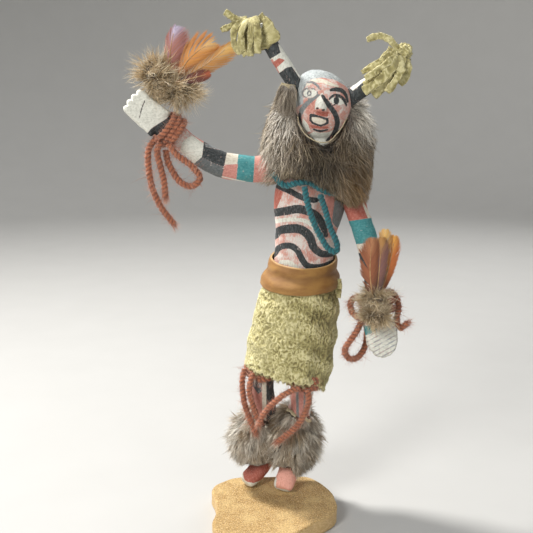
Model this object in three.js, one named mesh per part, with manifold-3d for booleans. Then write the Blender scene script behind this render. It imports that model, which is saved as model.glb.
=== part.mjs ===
// Carved and painted kachina doll: a dancer on tiptoe on a lobed base, one arm raised.
// Millimetres, +Z up, the doll faces -Y. The origin is the centre of the base's underside.
// The doll's right side is on -X. Figure points are measured from the base's top.
import * as THREE from 'three';
import { mergeVertices } from 'three/addons/utils/BufferGeometryUtils.js';
import Module from 'manifold-3d';

const wasm = await Module();
wasm.setup();

// ---- Driving dimensions ----
const FIGURE_HEIGHT = 293;        // top of the base to the top of the raised tassel
const SIZE = FIGURE_HEIGHT / 293; // the figure below is drawn 293 high
const CLEARANCE = 0.3;            // gap between pieces that touch

const BASE_THICKNESS = 10;
const BASE_RADIUS = 39.5;         // mean radius of the lobed outline
const BASE_EDGE = 1.2;            // softened rim

const HEAD_HALF_WIDTH = 15.2;
const HEAD_HALF_HEIGHT = 19;
const HEAD_HALF_DEPTH = 16;
const NECK_RADIUS = 7;
const CHEST_HALF_WIDTH = 20.6;
const CHEST_HALF_DEPTH = 13;
const WAIST_HALF_WIDTH = 17.6;
const WAIST_HALF_DEPTH = 11.5;
const HIP_HALF_WIDTH = 18.4;
const HIP_HALF_DEPTH = 13;
const LEG_RADIUS = 7.3;
const FOOT_HALF_WIDTH = 6.4;
const FOOT_HALF_HEIGHT = 4.6;
const ARM_RADIUS = 7.4;
const LOWERED_ARM_RADIUS = 6.4;
const WRIST_RADIUS = 6.6;
const HAND_LENGTH = 22.5;
const HAND_WIDTH = 17;
const LOWERED_HAND_WIDTH = 19;
const HAND_THICKNESS = 9;
const FINGERS = 4;

const HORN_RADIUS = 4.6;
const HORN_TIP_RADIUS = 4.1;
const STRIP_WIDTH = 4.6;          // suede strips of the horn tassels
const STRIP_THICKNESS = 1.4;
const TASSEL_KNOT_RADIUS = 3.8;

const YARN_DIAMETER = 3.6;
const WRAP_TURNS = 2;

const BELT_HEIGHT = 17;
const BELT_THICKNESS = 1.5;
const BELT_SLACK = 0.8;           // how far the belt stands off what it goes round
const KILT_LENGTH = 64;
const KILT_TUCK = 5.5;            // how far the kilt goes up under the belt
const KILT_THICKNESS = 1.8;
const KILT_LOOSENESS = 6.4;       // how far the hem hangs off the hips
const KILT_FOLDS = 5;
const KILT_FOLD_DEPTH = 0.7;

const ANKLET_RADIUS = 17;
const DOWN_RADIUS = 9;
const FEATHER_THICKNESS = 0.9;

const RUFF_SIDE = 15.5;           // fur thickness beside the neck
const RUFF_FRONT = 9;             // fur thickness under the chin

const X_AXIS = [1, 0, 0];
const Y_AXIS = [0, 1, 0];
const Z_AXIS = [0, 0, 1];

// ---- Solids ----
function solidOf(geometry) {
  const bare = geometry.clone();
  bare.deleteAttribute('normal');
  bare.deleteAttribute('uv');
  const merged = mergeVertices(bare, 1e-4);
  const mesh = new wasm.Mesh({
    numProp: 3,
    vertProperties: new Float32Array(merged.attributes.position.array),
    triVerts: new Uint32Array(merged.index.array),
  });
  mesh.merge();
  return new wasm.Manifold(mesh);
}

function geometryOf(solid, size) {
  const mesh = solid.getMesh();
  const geometry = new THREE.BufferGeometry();
  geometry.setAttribute('position', new THREE.BufferAttribute(mesh.vertProperties, 3));
  geometry.setIndex(new THREE.BufferAttribute(mesh.triVerts, 1));
  geometry.scale(size, size, size);
  geometry.computeVertexNormals();
  return geometry;
}

const join = (solids) => solids.reduce((whole, solid) => whole.add(solid));

// Cuts a solid by its neighbours, each grown by the clearance, and keeps the largest body left.
function fit(solid, neighbours) {
  const cut = neighbours.reduce((rest, neighbour) => rest.subtract(neighbour(CLEARANCE)), solid);
  return cut.decompose().sort((a, b) => b.volume() - a.volume())[0];
}

// Bends a section geometry, unit half-width across x and z and unit length along y, along a
// curve. A station is [x, y, z, halfWidth, halfDepth]; the hint says where the width points.
function sweep(section, stations, hint, grow = 0) {
  const path = new THREE.CatmullRomCurve3(stations.map((s) => new THREE.Vector3(s[0], s[1], s[2])));
  const size = new THREE.CatmullRomCurve3(stations.map((s) => new THREE.Vector3(s[3], s[4], 0)));
  const across = new THREE.Vector3(...hint);
  const position = section.attributes.position;
  for (let i = 0; i < position.count; i += 1) {
    const local = new THREE.Vector3().fromBufferAttribute(position, i);
    const t = THREE.MathUtils.clamp(local.y + 0.5, 0, 1);
    const along = path.getTangent(t);
    const side = across.clone().addScaledVector(along, -across.dot(along)).normalize();
    const front = side.clone().cross(along);
    const half = size.getPoint(t);
    const point = path.getPoint(t)
      .addScaledVector(side, local.x * (half.x + grow))
      .addScaledVector(front, local.z * (half.y + grow));
    if (t === 0) point.addScaledVector(along, -grow);
    if (t === 1) point.addScaledVector(along, grow);
    position.setXYZ(i, point.x, point.y, point.z);
  }
  return solidOf(section);
}

const limb = (stations, hint, grow, sides = 8, rows = 6) =>
  sweep(new THREE.CylinderGeometry(1, 1, 1, sides, rows), stations, hint, grow);

// A flat strip: its width lies along the hint, its thickness across it.
function strip(points, width, thickness, hint, grow = 0, rows = 3) {
  const section = new THREE.BoxGeometry(2, 1, 2, 1, rows, 1);
  const stations = points.map((p) => [...p, width / 2, thickness / 2]);
  return sweep(section, stations, hint, grow);
}

function ball(center, radii, grow = 0, around = 9, down = 6) {
  const geometry = new THREE.SphereGeometry(1, around, down);
  geometry.scale(radii[0] + grow, radii[1] + grow, radii[2] + grow);
  geometry.translate(...center);
  return solidOf(geometry);
}

function tube(points, diameter, grow = 0) {
  const path = new THREE.CatmullRomCurve3(points.map((p) => new THREE.Vector3(...p)));
  const section = new THREE.Shape();
  const sides = 8;
  for (let i = 0; i < sides; i += 1) {
    const angle = (2 * Math.PI * i) / sides;
    const radius = diameter / 2 + grow;
    const [x, y] = [radius * Math.cos(angle), radius * Math.sin(angle)];
    if (i === 0) section.moveTo(x, y);
    else section.lineTo(x, y);
  }
  const steps = Math.max(4, Math.round(path.getLength() / (2.6 * diameter)));
  return solidOf(new THREE.ExtrudeGeometry(section, { steps, extrudePath: path, curveSegments: 1 }));
}

// Turns of yarn side by side around a limb, with a bump for each turn.
function wrap(center, axis, innerRadius, grow = 0) {
  const height = WRAP_TURNS * YARN_DIAMETER;
  const inner = innerRadius - grow;
  const profile = [new THREE.Vector2(inner, -height / 2 - grow)];
  for (let turn = 0; turn < WRAP_TURNS; turn += 1) {
    const middle = -height / 2 + (turn + 0.5) * YARN_DIAMETER;
    for (const [out, up] of [[0.3, -0.5], [0.95, -0.28], [0.95, 0.28], [0.3, 0.5]]) {
      profile.push(new THREE.Vector2(
        innerRadius + out * YARN_DIAMETER + grow,
        middle + up * (YARN_DIAMETER + 2 * grow) * 0.98,
      ));
    }
  }
  profile.push(new THREE.Vector2(inner, height / 2 + grow));
  profile.push(profile[0].clone());
  const ring = new THREE.LatheGeometry(profile, 10);
  const turn = new THREE.Quaternion().setFromUnitVectors(
    new THREE.Vector3(...Y_AXIS),
    new THREE.Vector3(...axis).normalize(),
  );
  ring.applyQuaternion(turn);
  ring.translate(...center);
  return solidOf(ring);
}

// A band of cloth or leather: outer and inner walls between a top and a bottom station.
// place(around, down, out) gives the point at an angle, a share of the way down and a wall.
function band(place, around, rows) {
  const profile = [];
  for (let row = 0; row <= rows; row += 1) profile.push(new THREE.Vector2(1, row / rows));
  for (let row = rows; row >= 0; row -= 1) profile.push(new THREE.Vector2(2, row / rows));
  profile.push(profile[0].clone());
  const geometry = new THREE.LatheGeometry(profile, around);
  const position = geometry.attributes.position;
  for (let i = 0; i < position.count; i += 1) {
    const [x, down, z] = [position.getX(i), position.getY(i), position.getZ(i)];
    const out = Math.hypot(x, z) > 1.5 ? 1 : 0;
    const point = place(Math.atan2(z, x), down, out);
    position.setXYZ(i, point[0], point[1], point[2]);
  }
  return solidOf(geometry);
}

// ---- Base ----
// Outline as [degrees from +X, share of the mean radius], a slab with soft lobes.
const BASE_LOBES = [
  [0, 0.97], [17, 0.99], [32, 1.01], [46, 1.05], [58, 1.07], [74, 0.98], [92, 0.92],
  [108, 0.97], [122, 1.07], [134, 1.13], [147, 1.16], [157, 1.12], [168, 0.99], [186, 0.92],
  [198, 0.97], [209, 1.09], [221, 1.18], [234, 1.12], [250, 1.0], [268, 0.95], [286, 0.92],
  [300, 0.86], [314, 0.82], [329, 0.87], [345, 0.95],
];

function baseSlab() {
  const rim = BASE_LOBES.map(([degrees, share]) => {
    const angle = THREE.MathUtils.degToRad(degrees);
    const radius = BASE_RADIUS * share - BASE_EDGE;
    return new THREE.Vector3(radius * Math.cos(angle), radius * Math.sin(angle), 0);
  });
  const outline = new THREE.CatmullRomCurve3(rim, true).getSpacedPoints(44).slice(0, -1);
  const shape = new THREE.Shape(outline.map((p) => new THREE.Vector2(p.x, p.y)));
  const slab = new THREE.ExtrudeGeometry(shape, {
    depth: BASE_THICKNESS - 2 * BASE_EDGE,
    bevelThickness: BASE_EDGE,
    bevelSize: BASE_EDGE,
    bevelSegments: 1,
  });
  slab.translate(0, 0, BASE_EDGE);
  return solidOf(slab);
}

// ---- Carved figure: torso, head, legs and feet in one piece ----
const HEAD_CENTER = [25.8, -7, 243];

function torso(grow) {
  return limb([
    [10.5, 14.5, 99, 12, 9],
    [12.5, 14.2, 110, HIP_HALF_WIDTH * 0.97, HIP_HALF_DEPTH],
    [15.2, 12.6, 132, HIP_HALF_WIDTH, HIP_HALF_DEPTH * 0.97],
    [16.8, 10.5, 154, WAIST_HALF_WIDTH, WAIST_HALF_DEPTH * 1.03],
    [17.5, 8.5, 168, WAIST_HALF_WIDTH, WAIST_HALF_DEPTH],
    [19.4, 4.6, 187, CHEST_HALF_WIDTH, CHEST_HALF_DEPTH],
    [21.4, 0.8, 202, CHEST_HALF_WIDTH * 0.96, CHEST_HALF_DEPTH * 0.9],
    [22.6, -1.5, 211, CHEST_HALF_WIDTH * 0.6, CHEST_HALF_DEPTH * 0.68],
    [23.6, -3, 219, NECK_RADIUS, NECK_RADIUS],
    [25, -5.5, 232, NECK_RADIUS, NECK_RADIUS],
  ], X_AXIS, grow, 12, 11);
}

function head(grow) {
  const geometry = new THREE.SphereGeometry(1, 18, 12);
  geometry.rotateX(Math.PI / 2);
  const position = geometry.attributes.position;
  for (let i = 0; i < position.count; i += 1) {
    const [x, y, z] = [position.getX(i), position.getY(i), position.getZ(i)];
    const swell = 1 + 0.13 * z;
    const lean = z > 0 ? -4.2 * z * z : -2 * z * z;
    position.setXYZ(
      i,
      HEAD_CENTER[0] + lean + x * swell * (HEAD_HALF_WIDTH + grow),
      HEAD_CENTER[1] + 1.2 * z * z + y * swell * (HEAD_HALF_DEPTH + grow),
      HEAD_CENTER[2] + z * (HEAD_HALF_HEIGHT + grow),
    );
  }
  return solidOf(geometry);
}

const nose = (grow) => limb([
  [25.1, -20.4, 249.5, 1.1, 1.2],
  [24.3, -22.4, 245.5, 2.0, 2.0],
  [23.2, -23.2, 241.8, 3.3, 2.9],
  [22.9, -22.4, 240.2, 2.9, 2.0],
], X_AXIS, grow, 6, 3);

const rightLeg = (grow) => limb([
  [4.5, 15, 110, LEG_RADIUS * 1.15, LEG_RADIUS * 1.2],
  [-5, 12.5, 92, LEG_RADIUS * 1.03, LEG_RADIUS * 1.08],
  [-8.2, 10.6, 76, LEG_RADIUS, LEG_RADIUS],
  [-6.2, 16.5, 56, LEG_RADIUS * 0.95, LEG_RADIUS],
  [-5.6, 25, 36, LEG_RADIUS * 0.85, LEG_RADIUS * 0.9],
  [-5.9, 31, 20, LEG_RADIUS * 0.8, LEG_RADIUS * 0.8],
], X_AXIS, grow);

const leftLeg = (grow) => limb([
  [20, 14, 110, LEG_RADIUS * 1.15, LEG_RADIUS * 1.2],
  [18.2, 8, 93, LEG_RADIUS * 1.05, LEG_RADIUS * 1.08],
  [16.6, 5, 78, LEG_RADIUS, LEG_RADIUS],
  [14.9, 10.5, 57, LEG_RADIUS * 0.95, LEG_RADIUS],
  [12.6, 18, 38, LEG_RADIUS * 0.85, LEG_RADIUS * 0.9],
  [10.4, 24, 22, LEG_RADIUS * 0.8, LEG_RADIUS * 0.8],
], X_AXIS, grow);

const rightFoot = (grow) => limb([
  [-2.8, 34.4, 20, FOOT_HALF_WIDTH * 0.8, FOOT_HALF_HEIGHT * 0.9],
  [-6.6, 31.6, 14, FOOT_HALF_WIDTH, FOOT_HALF_HEIGHT * 1.15],
  [-11.6, 27.6, 8.4, FOOT_HALF_WIDTH * 1.03, FOOT_HALF_HEIGHT * 1.05],
  [-17, 23.2, 4.4, FOOT_HALF_WIDTH, FOOT_HALF_HEIGHT * 0.9],
  [-19.2, 21.6, 3.3, FOOT_HALF_WIDTH * 0.82, FOOT_HALF_HEIGHT * 0.62],
], [0.64, -0.77, 0], grow, 10, 5);

const leftFoot = (grow) => limb([
  [12.6, 28.4, 24, FOOT_HALF_WIDTH * 0.8, FOOT_HALF_HEIGHT * 0.9],
  [10.8, 24.4, 16, FOOT_HALF_WIDTH * 0.95, FOOT_HALF_HEIGHT * 1.15],
  [7.8, 19.2, 9.2, FOOT_HALF_WIDTH, FOOT_HALF_HEIGHT * 1.1],
  [5.3, 14.6, 4.2, FOOT_HALF_WIDTH, FOOT_HALF_HEIGHT * 0.9],
  [4.6, 12.9, 3.0, FOOT_HALF_WIDTH * 0.85, FOOT_HALF_HEIGHT * 0.6],
], X_AXIS, grow, 10, 5);

const figure = (grow) => join([torso(grow), head(grow), nose(grow), rightLeg(grow), leftLeg(grow),
  rightFoot(grow), leftFoot(grow)]);

const underBase = (grow) => {
  const block = new THREE.BoxGeometry(4 * BASE_RADIUS, 4 * BASE_RADIUS, 20);
  block.translate(0, 0, -10 + grow);
  return solidOf(block);
};

// ---- Arms, each carved with its hand ----
// A flat hand, rounded or with scalloped finger ends, its length along the given axis from the wrist.
function hand(wrist, axis, across, { width, roundness, scalloped }, grow) {
  const length = HAND_LENGTH;
  const tip = width * 0.46 + grow;
  const finger = (2 * tip) / FINGERS;
  const knuckle = length * (1 - (roundness * FINGERS) / 2) - finger * 0.7;
  const outline = new THREE.Shape();
  outline.moveTo(-grow, -width / 2 - grow);
  outline.lineTo(knuckle, -tip);
  for (let i = 0; i < FINGERS; i += 1) {
    const low = -tip + i * finger;
    const reach = length * (1 - roundness * Math.abs(i - (FINGERS - 1) / 2)) + grow;
    if (scalloped) outline.lineTo(reach - finger * 0.18, low + finger * 0.14);
    outline.lineTo(reach, low + finger * 0.5);
    if (scalloped) outline.lineTo(reach - finger * 0.18, low + finger * 0.86);
    if (scalloped && i < FINGERS - 1) outline.lineTo(reach - finger * 0.42, low + finger);
  }
  outline.lineTo(knuckle, tip);
  outline.lineTo(-grow, width / 2 + grow);
  outline.closePath();
  const soft = 1;
  const slab = new THREE.ExtrudeGeometry(outline, {
    depth: HAND_THICKNESS + 2 * grow - 2 * soft,
    bevelThickness: soft,
    bevelSize: soft,
    bevelOffset: -soft,
    bevelSegments: 1,
  });
  slab.translate(0, 0, -HAND_THICKNESS / 2 - grow + soft);
  const u = new THREE.Vector3(...axis).normalize();
  const hint = new THREE.Vector3(...across);
  const v = hint.addScaledVector(u, -hint.dot(u)).normalize();
  const w = u.clone().cross(v);
  slab.applyMatrix4(new THREE.Matrix4().makeBasis(u, v, w).setPosition(...wrist));
  return solidOf(slab);
}

const RIGHT_WRIST = [-59.2, -8.2, 229.6];
const RIGHT_FOREARM_AXIS = [-0.73, -0.22, 0.65];
const RIGHT_PALM = [-63.2, -9.6, 232.4];
const LEFT_WRIST = [58, -13.4, 131];
const LEFT_FOREARM_AXIS = [0.1, -0.4, -0.91];
const LEFT_PALM = [58.9, -15.8, 124.6];

function rightArm(grow) {
  const arm = limb([
    [9, 1, 206, ARM_RADIUS, ARM_RADIUS * 0.95],
    [-3, 0.2, 207.6, ARM_RADIUS * 1.03, ARM_RADIUS * 0.95],
    [-14, -1, 207.6, ARM_RADIUS, ARM_RADIUS * 0.92],
    [-30, -2.5, 210, ARM_RADIUS, ARM_RADIUS * 0.92],
    [-39.5, -3.6, 214.6, ARM_RADIUS * 0.96, ARM_RADIUS * 0.9],
    [-48.5, -5.2, 221.2, ARM_RADIUS * 0.82, ARM_RADIUS * 0.84],
    [...RIGHT_WRIST, WRIST_RADIUS, WRIST_RADIUS * 0.9],
    [-65.5, -10.2, 235, WRIST_RADIUS * 0.95, HAND_THICKNESS * 0.46],
  ], Z_AXIS, grow, 8, 10);
  const palm = hand(RIGHT_PALM, [-0.73, -0.17, 0.66], Z_AXIS,
    { width: HAND_WIDTH, roundness: 0.03, scalloped: true }, grow);
  return arm.add(palm);
}

function leftArm(grow) {
  const arm = limb([
    [33, 2.5, 208, LOWERED_ARM_RADIUS, LOWERED_ARM_RADIUS],
    [40.5, 1.4, 199, LOWERED_ARM_RADIUS * 1.08, LOWERED_ARM_RADIUS],
    [46.5, 0, 183, LOWERED_ARM_RADIUS, LOWERED_ARM_RADIUS * 0.95],
    [51.8, -2, 168, LOWERED_ARM_RADIUS, LOWERED_ARM_RADIUS * 0.95],
    [55, -4.6, 155, LOWERED_ARM_RADIUS * 0.96, LOWERED_ARM_RADIUS * 0.94],
    [56.8, -9, 142, LOWERED_ARM_RADIUS * 0.9, LOWERED_ARM_RADIUS * 0.88],
    [...LEFT_WRIST, WRIST_RADIUS * 0.88, WRIST_RADIUS * 0.84],
    [58.8, -16.4, 124, WRIST_RADIUS * 0.95, HAND_THICKNESS * 0.46],
  ], X_AXIS, grow, 8, 10);
  const palm = hand(LEFT_PALM, [0.1, -0.28, -0.95], X_AXIS,
    { width: LOWERED_HAND_WIDTH, roundness: 0.15, scalloped: false }, grow);
  return arm.add(palm);
}

// ---- Horns, and the suede strips tied over their ends ----
const hornStations = (root, tip) => [
  [...root, HORN_RADIUS, HORN_RADIUS],
  [...tip, HORN_TIP_RADIUS, HORN_TIP_RADIUS],
];
const rightHorn = (grow) =>
  limb(hornStations([16.6, -8, 244.6], [-9.8, -8, 285]), Y_AXIS, grow, 10, 1);
const leftHorn = (grow) =>
  limb(hornStations([35, -8, 243.5], [66.8, -8, 265]), Y_AXIS, grow, 10, 1);

const FACING = [1, 0, 0.2];
const suede = (points, width = STRIP_WIDTH, hint = FACING, grow = 0) =>
  strip(points, width, STRIP_THICKNESS, hint, grow);

const rightTassel = (grow) => join([
  ball([-14.2, -8, 284.6], [TASSEL_KNOT_RADIUS * 1.5, TASSEL_KNOT_RADIUS * 1.3, TASSEL_KNOT_RADIUS], grow),
  suede([[-14, -9, 287.5], [-20.5, -10, 287.6], [-26, -10.5, 291]], STRIP_WIDTH, Z_AXIS, grow),
  suede([[-14, -9.5, 287], [-22.6, -11.5, 286.6], [-28.6, -12, 283]], STRIP_WIDTH, Z_AXIS, grow),
  suede([[-14, -9, 287], [-21, -11.5, 284.6], [-23.2, -13, 277], [-20.6, -13, 270.2]], STRIP_WIDTH, FACING, grow),
  suede([[-13, -9, 287], [-18, -13.6, 283.6], [-18.4, -15.4, 276], [-16.6, -15.2, 270.8]], STRIP_WIDTH, FACING, grow),
  suede([[-12.6, -9, 287], [-14, -14.6, 283.2], [-14.2, -16.4, 275.6], [-13.4, -16, 268.8]], STRIP_WIDTH, FACING, grow),
  suede([[-12, -9, 287], [-10.4, -14.4, 282.8], [-9.6, -16, 275.4], [-9, -15.4, 269.2]], STRIP_WIDTH, FACING, grow),
  suede([[-12.4, -8, 287.2], [-6.4, -12, 281.6], [-2, -13, 273.6]], STRIP_WIDTH * 2.1, [0.8, 0, 0.6], grow),
  suede([[-13, -7, 287], [-12.6, -1.6, 281.6], [-12, -0.6, 272.4]], STRIP_WIDTH * 2.6, X_AXIS, grow),
]);

const leftTassel = (grow) => join([
  ball([68.6, -9, 271.4], [TASSEL_KNOT_RADIUS * 1.2, TASSEL_KNOT_RADIUS * 1.2, TASSEL_KNOT_RADIUS], grow),
  suede([[66.4, -10, 272], [62, -10.6, 277], [56, -11, 279.6], [50.6, -11.4, 278.4], [48, -11.4, 275.2]],
    STRIP_WIDTH * 0.75, [0.3, 0, 1], grow),
  suede([[66, -11, 271.4], [57.4, -14, 266.8], [47.4, -13.6, 259.6]], STRIP_WIDTH * 1.2, [0.5, 0, -0.85], grow),
  suede([[66.4, -12, 270], [59.6, -15.4, 263.2], [51.4, -14.6, 256.6]], STRIP_WIDTH * 1.3, [0.6, 0, -0.8], grow),
  suede([[67.4, -12, 269], [62.4, -15, 259], [52.8, -14.2, 249.6]], STRIP_WIDTH * 1.5, [0.75, 0, -0.66], grow),
  suede([[68.6, -11.5, 269], [66.2, -13.6, 258], [58.4, -13, 250.4]], STRIP_WIDTH * 1.2, [0.8, 0, -0.6], grow),
  suede([[69.6, -10, 271.6], [73, -11.4, 265.4], [72, -11.6, 259], [65.8, -11.4, 253]], STRIP_WIDTH, [1, 0, -0.2], grow),
  suede([[68.6, -7.4, 270.6], [64.6, -1.4, 260.6], [58, -1.6, 253.6]], STRIP_WIDTH * 2.4, [0.7, 0, -0.7], grow),
]);

// ---- Fur ----
// The collar is a ring of uneven thickness, low under the chin and high behind the head.
function ruff() {
  const geometry = new THREE.TorusGeometry(2, 1, 9, 20);
  const position = geometry.attributes.position;
  for (let i = 0; i < position.count; i += 1) {
    const [x, y, z] = [position.getX(i), position.getY(i), position.getZ(i)];
    const around = Math.atan2(y, x);
    const out = Math.hypot(x, y) - 2;
    const [right, back] = [Math.cos(around), Math.sin(around)];
    const side = Math.abs(right);
    const front = Math.max(0, -back) ** 2;
    const thick = THREE.MathUtils.lerp(RUFF_FRONT + 4 * Math.max(0, back), RUFF_SIDE, side ** 2);
    const tall = THREE.MathUtils.lerp(26 - 14.5 * front, 27.5 + 1.5 * right, side ** 2);
    const ringX = 23.8 + right * (16.4 + thick * out);
    const ringY = 3 + back * (12 + thick * out);
    const ringZ = 220.6 + right * (1.6 * back - 2.6) + 8 * back - right * front * 7 + tall * z;
    position.setXYZ(i, ringX, ringY, ringZ);
  }
  return solidOf(geometry);
}

const rightAnklet = (grow) => limb([
  [-7.4, 14.5, 53, ANKLET_RADIUS * 0.5, ANKLET_RADIUS * 0.52],
  [-10.4, 18, 46, ANKLET_RADIUS * 0.8, ANKLET_RADIUS * 0.8],
  [-13.6, 23, 35, ANKLET_RADIUS, ANKLET_RADIUS * 0.93],
  [-12.8, 27, 25, ANKLET_RADIUS * 0.86, ANKLET_RADIUS * 0.8],
  [-9.4, 30.5, 17, ANKLET_RADIUS * 0.48, ANKLET_RADIUS * 0.46],
], X_AXIS, grow, 10, 5);

const leftAnklet = (grow) => limb([
  [15.2, 9.5, 57, ANKLET_RADIUS * 0.53, ANKLET_RADIUS * 0.55],
  [12.6, 11.5, 50, ANKLET_RADIUS * 0.86, ANKLET_RADIUS * 0.82],
  [10.4, 15, 38, ANKLET_RADIUS * 1.14, ANKLET_RADIUS * 0.93],
  [11.8, 19.6, 27, ANKLET_RADIUS * 1.05, ANKLET_RADIUS * 0.86],
  [14, 25, 16, ANKLET_RADIUS * 0.55, ANKLET_RADIUS * 0.52],
], X_AXIS, grow, 10, 5);

// ---- Belt and kilt ----
const BELT_TOP = [16.6, 10.6, 154.5];
const BELT_TILT = 0.3;            // rise of the top edge from front to back
const BELT_FLARE = 3.9;
const KILT_HEM = [6.9, 11.6];     // where the hem's middle hangs
const KILT_TAIL_LENGTH = 20;      // torn end of the hide behind the legs

// Middle and inner half-sizes of the belt, a length down from its top.
function beltAt(drop) {
  const flare = (BELT_FLARE * drop) / BELT_HEIGHT;
  return {
    middle: [BELT_TOP[0] - 0.14 * drop, BELT_TOP[1] + 0.1 * drop, BELT_TOP[2] - drop],
    across: WAIST_HALF_WIDTH + BELT_SLACK + flare,
    deep: WAIST_HALF_DEPTH * 1.08 + BELT_SLACK + 0.8 * flare,
    tilt: BELT_TILT * (1 - (0.4 * drop) / BELT_HEIGHT),
  };
}

function belt(grow = 0) {
  return band((angle, down, out) => {
    const wall = out * BELT_THICKNESS + (out ? grow : -grow);
    const { middle, across, deep, tilt } = beltAt(BELT_HEIGHT * (1 - down));
    const [right, back] = [Math.cos(angle), Math.sin(angle)];
    return [
      middle[0] + right * (across + wall),
      middle[1] + back * (deep + wall),
      middle[2] + (down > 0.5 ? grow : -grow) + tilt * back * (deep + wall),
    ];
  }, 24, 2);
}

function kiltTail() {
  const overlap = 8;
  const hem = BELT_TOP[2] - BELT_HEIGHT + KILT_TUCK - KILT_LENGTH + 7;
  const top = [5.6, 30.6, hem + overlap];
  const section = new THREE.BoxGeometry(2, 1, 2, 1, 2, 1);
  return sweep(section, [
    [...top, 4, KILT_THICKNESS / 2],
    [top[0] - 1, top[1], hem, 3.4, KILT_THICKNESS / 2],
    [top[0] - 2.6, top[1] - 1.2, hem - KILT_TAIL_LENGTH, 1, KILT_THICKNESS / 2],
  ], X_AXIS);
}

function kilt(grow = 0) {
  const top = beltAt(BELT_HEIGHT - KILT_TUCK);
  const inset = KILT_THICKNESS + 2 * CLEARANCE;
  return band((angle, down, out) => {
    const fall = 1 - down;
    const wall = out * KILT_THICKNESS + (out ? grow : -grow);
    const loose = KILT_LOOSENESS * Math.min(1, 0.28 + fall) * Math.min(1, 4 * fall);
    const fold = KILT_FOLD_DEPTH * fall * Math.cos(KILT_FOLDS * angle + 1);
    const across = top.across - inset + loose + fold + wall;
    const deep = top.deep - inset + loose * 0.8 + fold + wall;
    const [right, back] = [Math.cos(angle), Math.sin(angle)];
    const corner = Math.exp(-(((angle + 0.5) / 0.32) ** 2));
    const drop = (KILT_LENGTH - 4.5 + 5.5 * right - 1.4 * back + 3.5 * corner) * fall;
    const shift = drop / KILT_LENGTH;
    return [
      THREE.MathUtils.lerp(top.middle[0], KILT_HEM[0], shift) + right * across,
      THREE.MathUtils.lerp(top.middle[1], KILT_HEM[1], shift) + back * deep,
      top.middle[2] - drop + top.tilt * back * deep * down,
    ];
  }, 24, 3);
}

// ---- Yarn ----
const rightWrap = (grow) => wrap(RIGHT_WRIST, RIGHT_FOREARM_AXIS, WRIST_RADIUS + CLEARANCE, grow);
const leftWrap = (grow) => wrap(LEFT_WRIST, LEFT_FOREARM_AXIS, WRIST_RADIUS + CLEARANCE, grow);
const rightKneeWrap = (grow) => wrap([-7.4, 11.2, 84.6], [-0.12, -0.08, 1], LEG_RADIUS + 2 * CLEARANCE, grow);
const leftKneeWrap = (grow) => wrap([17, 5.7, 79.6], [0.08, 0.05, 1], LEG_RADIUS + 2 * CLEARANCE, grow);

const yarn = (points) => (grow) => tube(points, YARN_DIAMETER, grow);

const neckStrand = yarn([
  [-2, -10.5, 206], [4.4, -12, 199.6], [11.6, -14, 201], [18, -14.4, 201.4],
  [24.6, -14.2, 197.6], [31, -13, 195.4], [37, -11.4, 196.6], [42, -9, 200.5],
]);
const chestLoop = yarn([
  [15.4, -17.6, 199.4], [16.8, -17.2, 192], [19.9, -15.6, 181.5], [25, -13.6, 170.8],
  [30, -12.6, 163.4], [33.8, -12.4, 162.2], [34.2, -12.6, 166.4], [30.2, -13.4, 176],
  [27, -15.4, 186.6], [24, -17.6, 194.8],
]);
const rightWristTail = yarn([
  [-66.6, -11.8, 224.6], [-70, -12, 219.6], [-70.6, -12, 212.4], [-68.9, -12, 198.7],
  [-64.2, -12, 187.4], [-57.3, -12, 177.9],
]);
const rightWristEnd = yarn([
  [-63, -15.4, 223.4], [-65, -15.6, 218.6], [-63.6, -15.4, 210.7], [-61.9, -15, 202.6], [-61.2, -15, 193.2],
]);
const rightWristLoop = yarn([
  [-58.8, -16.8, 222.6], [-54.4, -17.4, 217], [-46, -17, 210.4], [-41.9, -16, 203.9], [-46.2, -14.6, 199.4],
  [-52.4, -13.4, 201], [-57.4, -12.4, 207.6], [-60.2, -11.6, 214], [-60.6, -11.6, 219],
]);
const leftWristLoop = yarn([
  [49.6, -17, 126], [46.6, -18.6, 118.6], [42.9, -19, 112.7], [39.4, -18, 106.2], [41.7, -16, 100.4],
  [46.9, -13, 99.4], [51.4, -10, 104], [53, -8.4, 112], [53.4, -7.2, 121],
]);
const leftWristBight = yarn([
  [50.4, -21.4, 130], [46.8, -20.6, 126], [43.6, -17.4, 127.6], [42.6, -12.4, 131],
  [44.6, -8, 133.6], [49.4, -4.6, 133.8], [54, -3, 133],
]);
const leftWristTail = yarn([
  [60.6, -3.2, 134.6], [65.4, -5.6, 137.4], [69, -11, 135], [69.6, -16.4, 129.8],
  [68.2, -19.6, 124.4], [70, -20.6, 119.8], [74.2, -20.6, 122.6],
]);
const rightKneeTailOuter = yarn([
  [-18.6, 6.2, 86], [-20, 4.4, 80], [-19.9, 3.2, 73.5], [-18.6, 3, 64], [-15.8, 3.4, 55], [-12.3, 2.4, 46.4],
]);
const rightKneeTailInner = yarn([
  [-13.4, 0.8, 86], [-15, -0.8, 80.4], [-15.8, -0.6, 74], [-13.8, 0.2, 65.4], [-10.8, 0, 56.4],
]);
const leftKneeTailAcross = yarn([
  [14.6, -8, 79], [7.5, -8.6, 76.6], [-0.6, -7.8, 70.2], [-7.2, -6.6, 62], [-10, -5.6, 55.2],
]);
const leftKneeTailDown = yarn([
  [19, -8, 78], [19.6, -9, 71.5], [16.8, -9.4, 62.6], [11.7, -8.8, 54.2], [1.4, -6.6, 44.4],
]);

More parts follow.
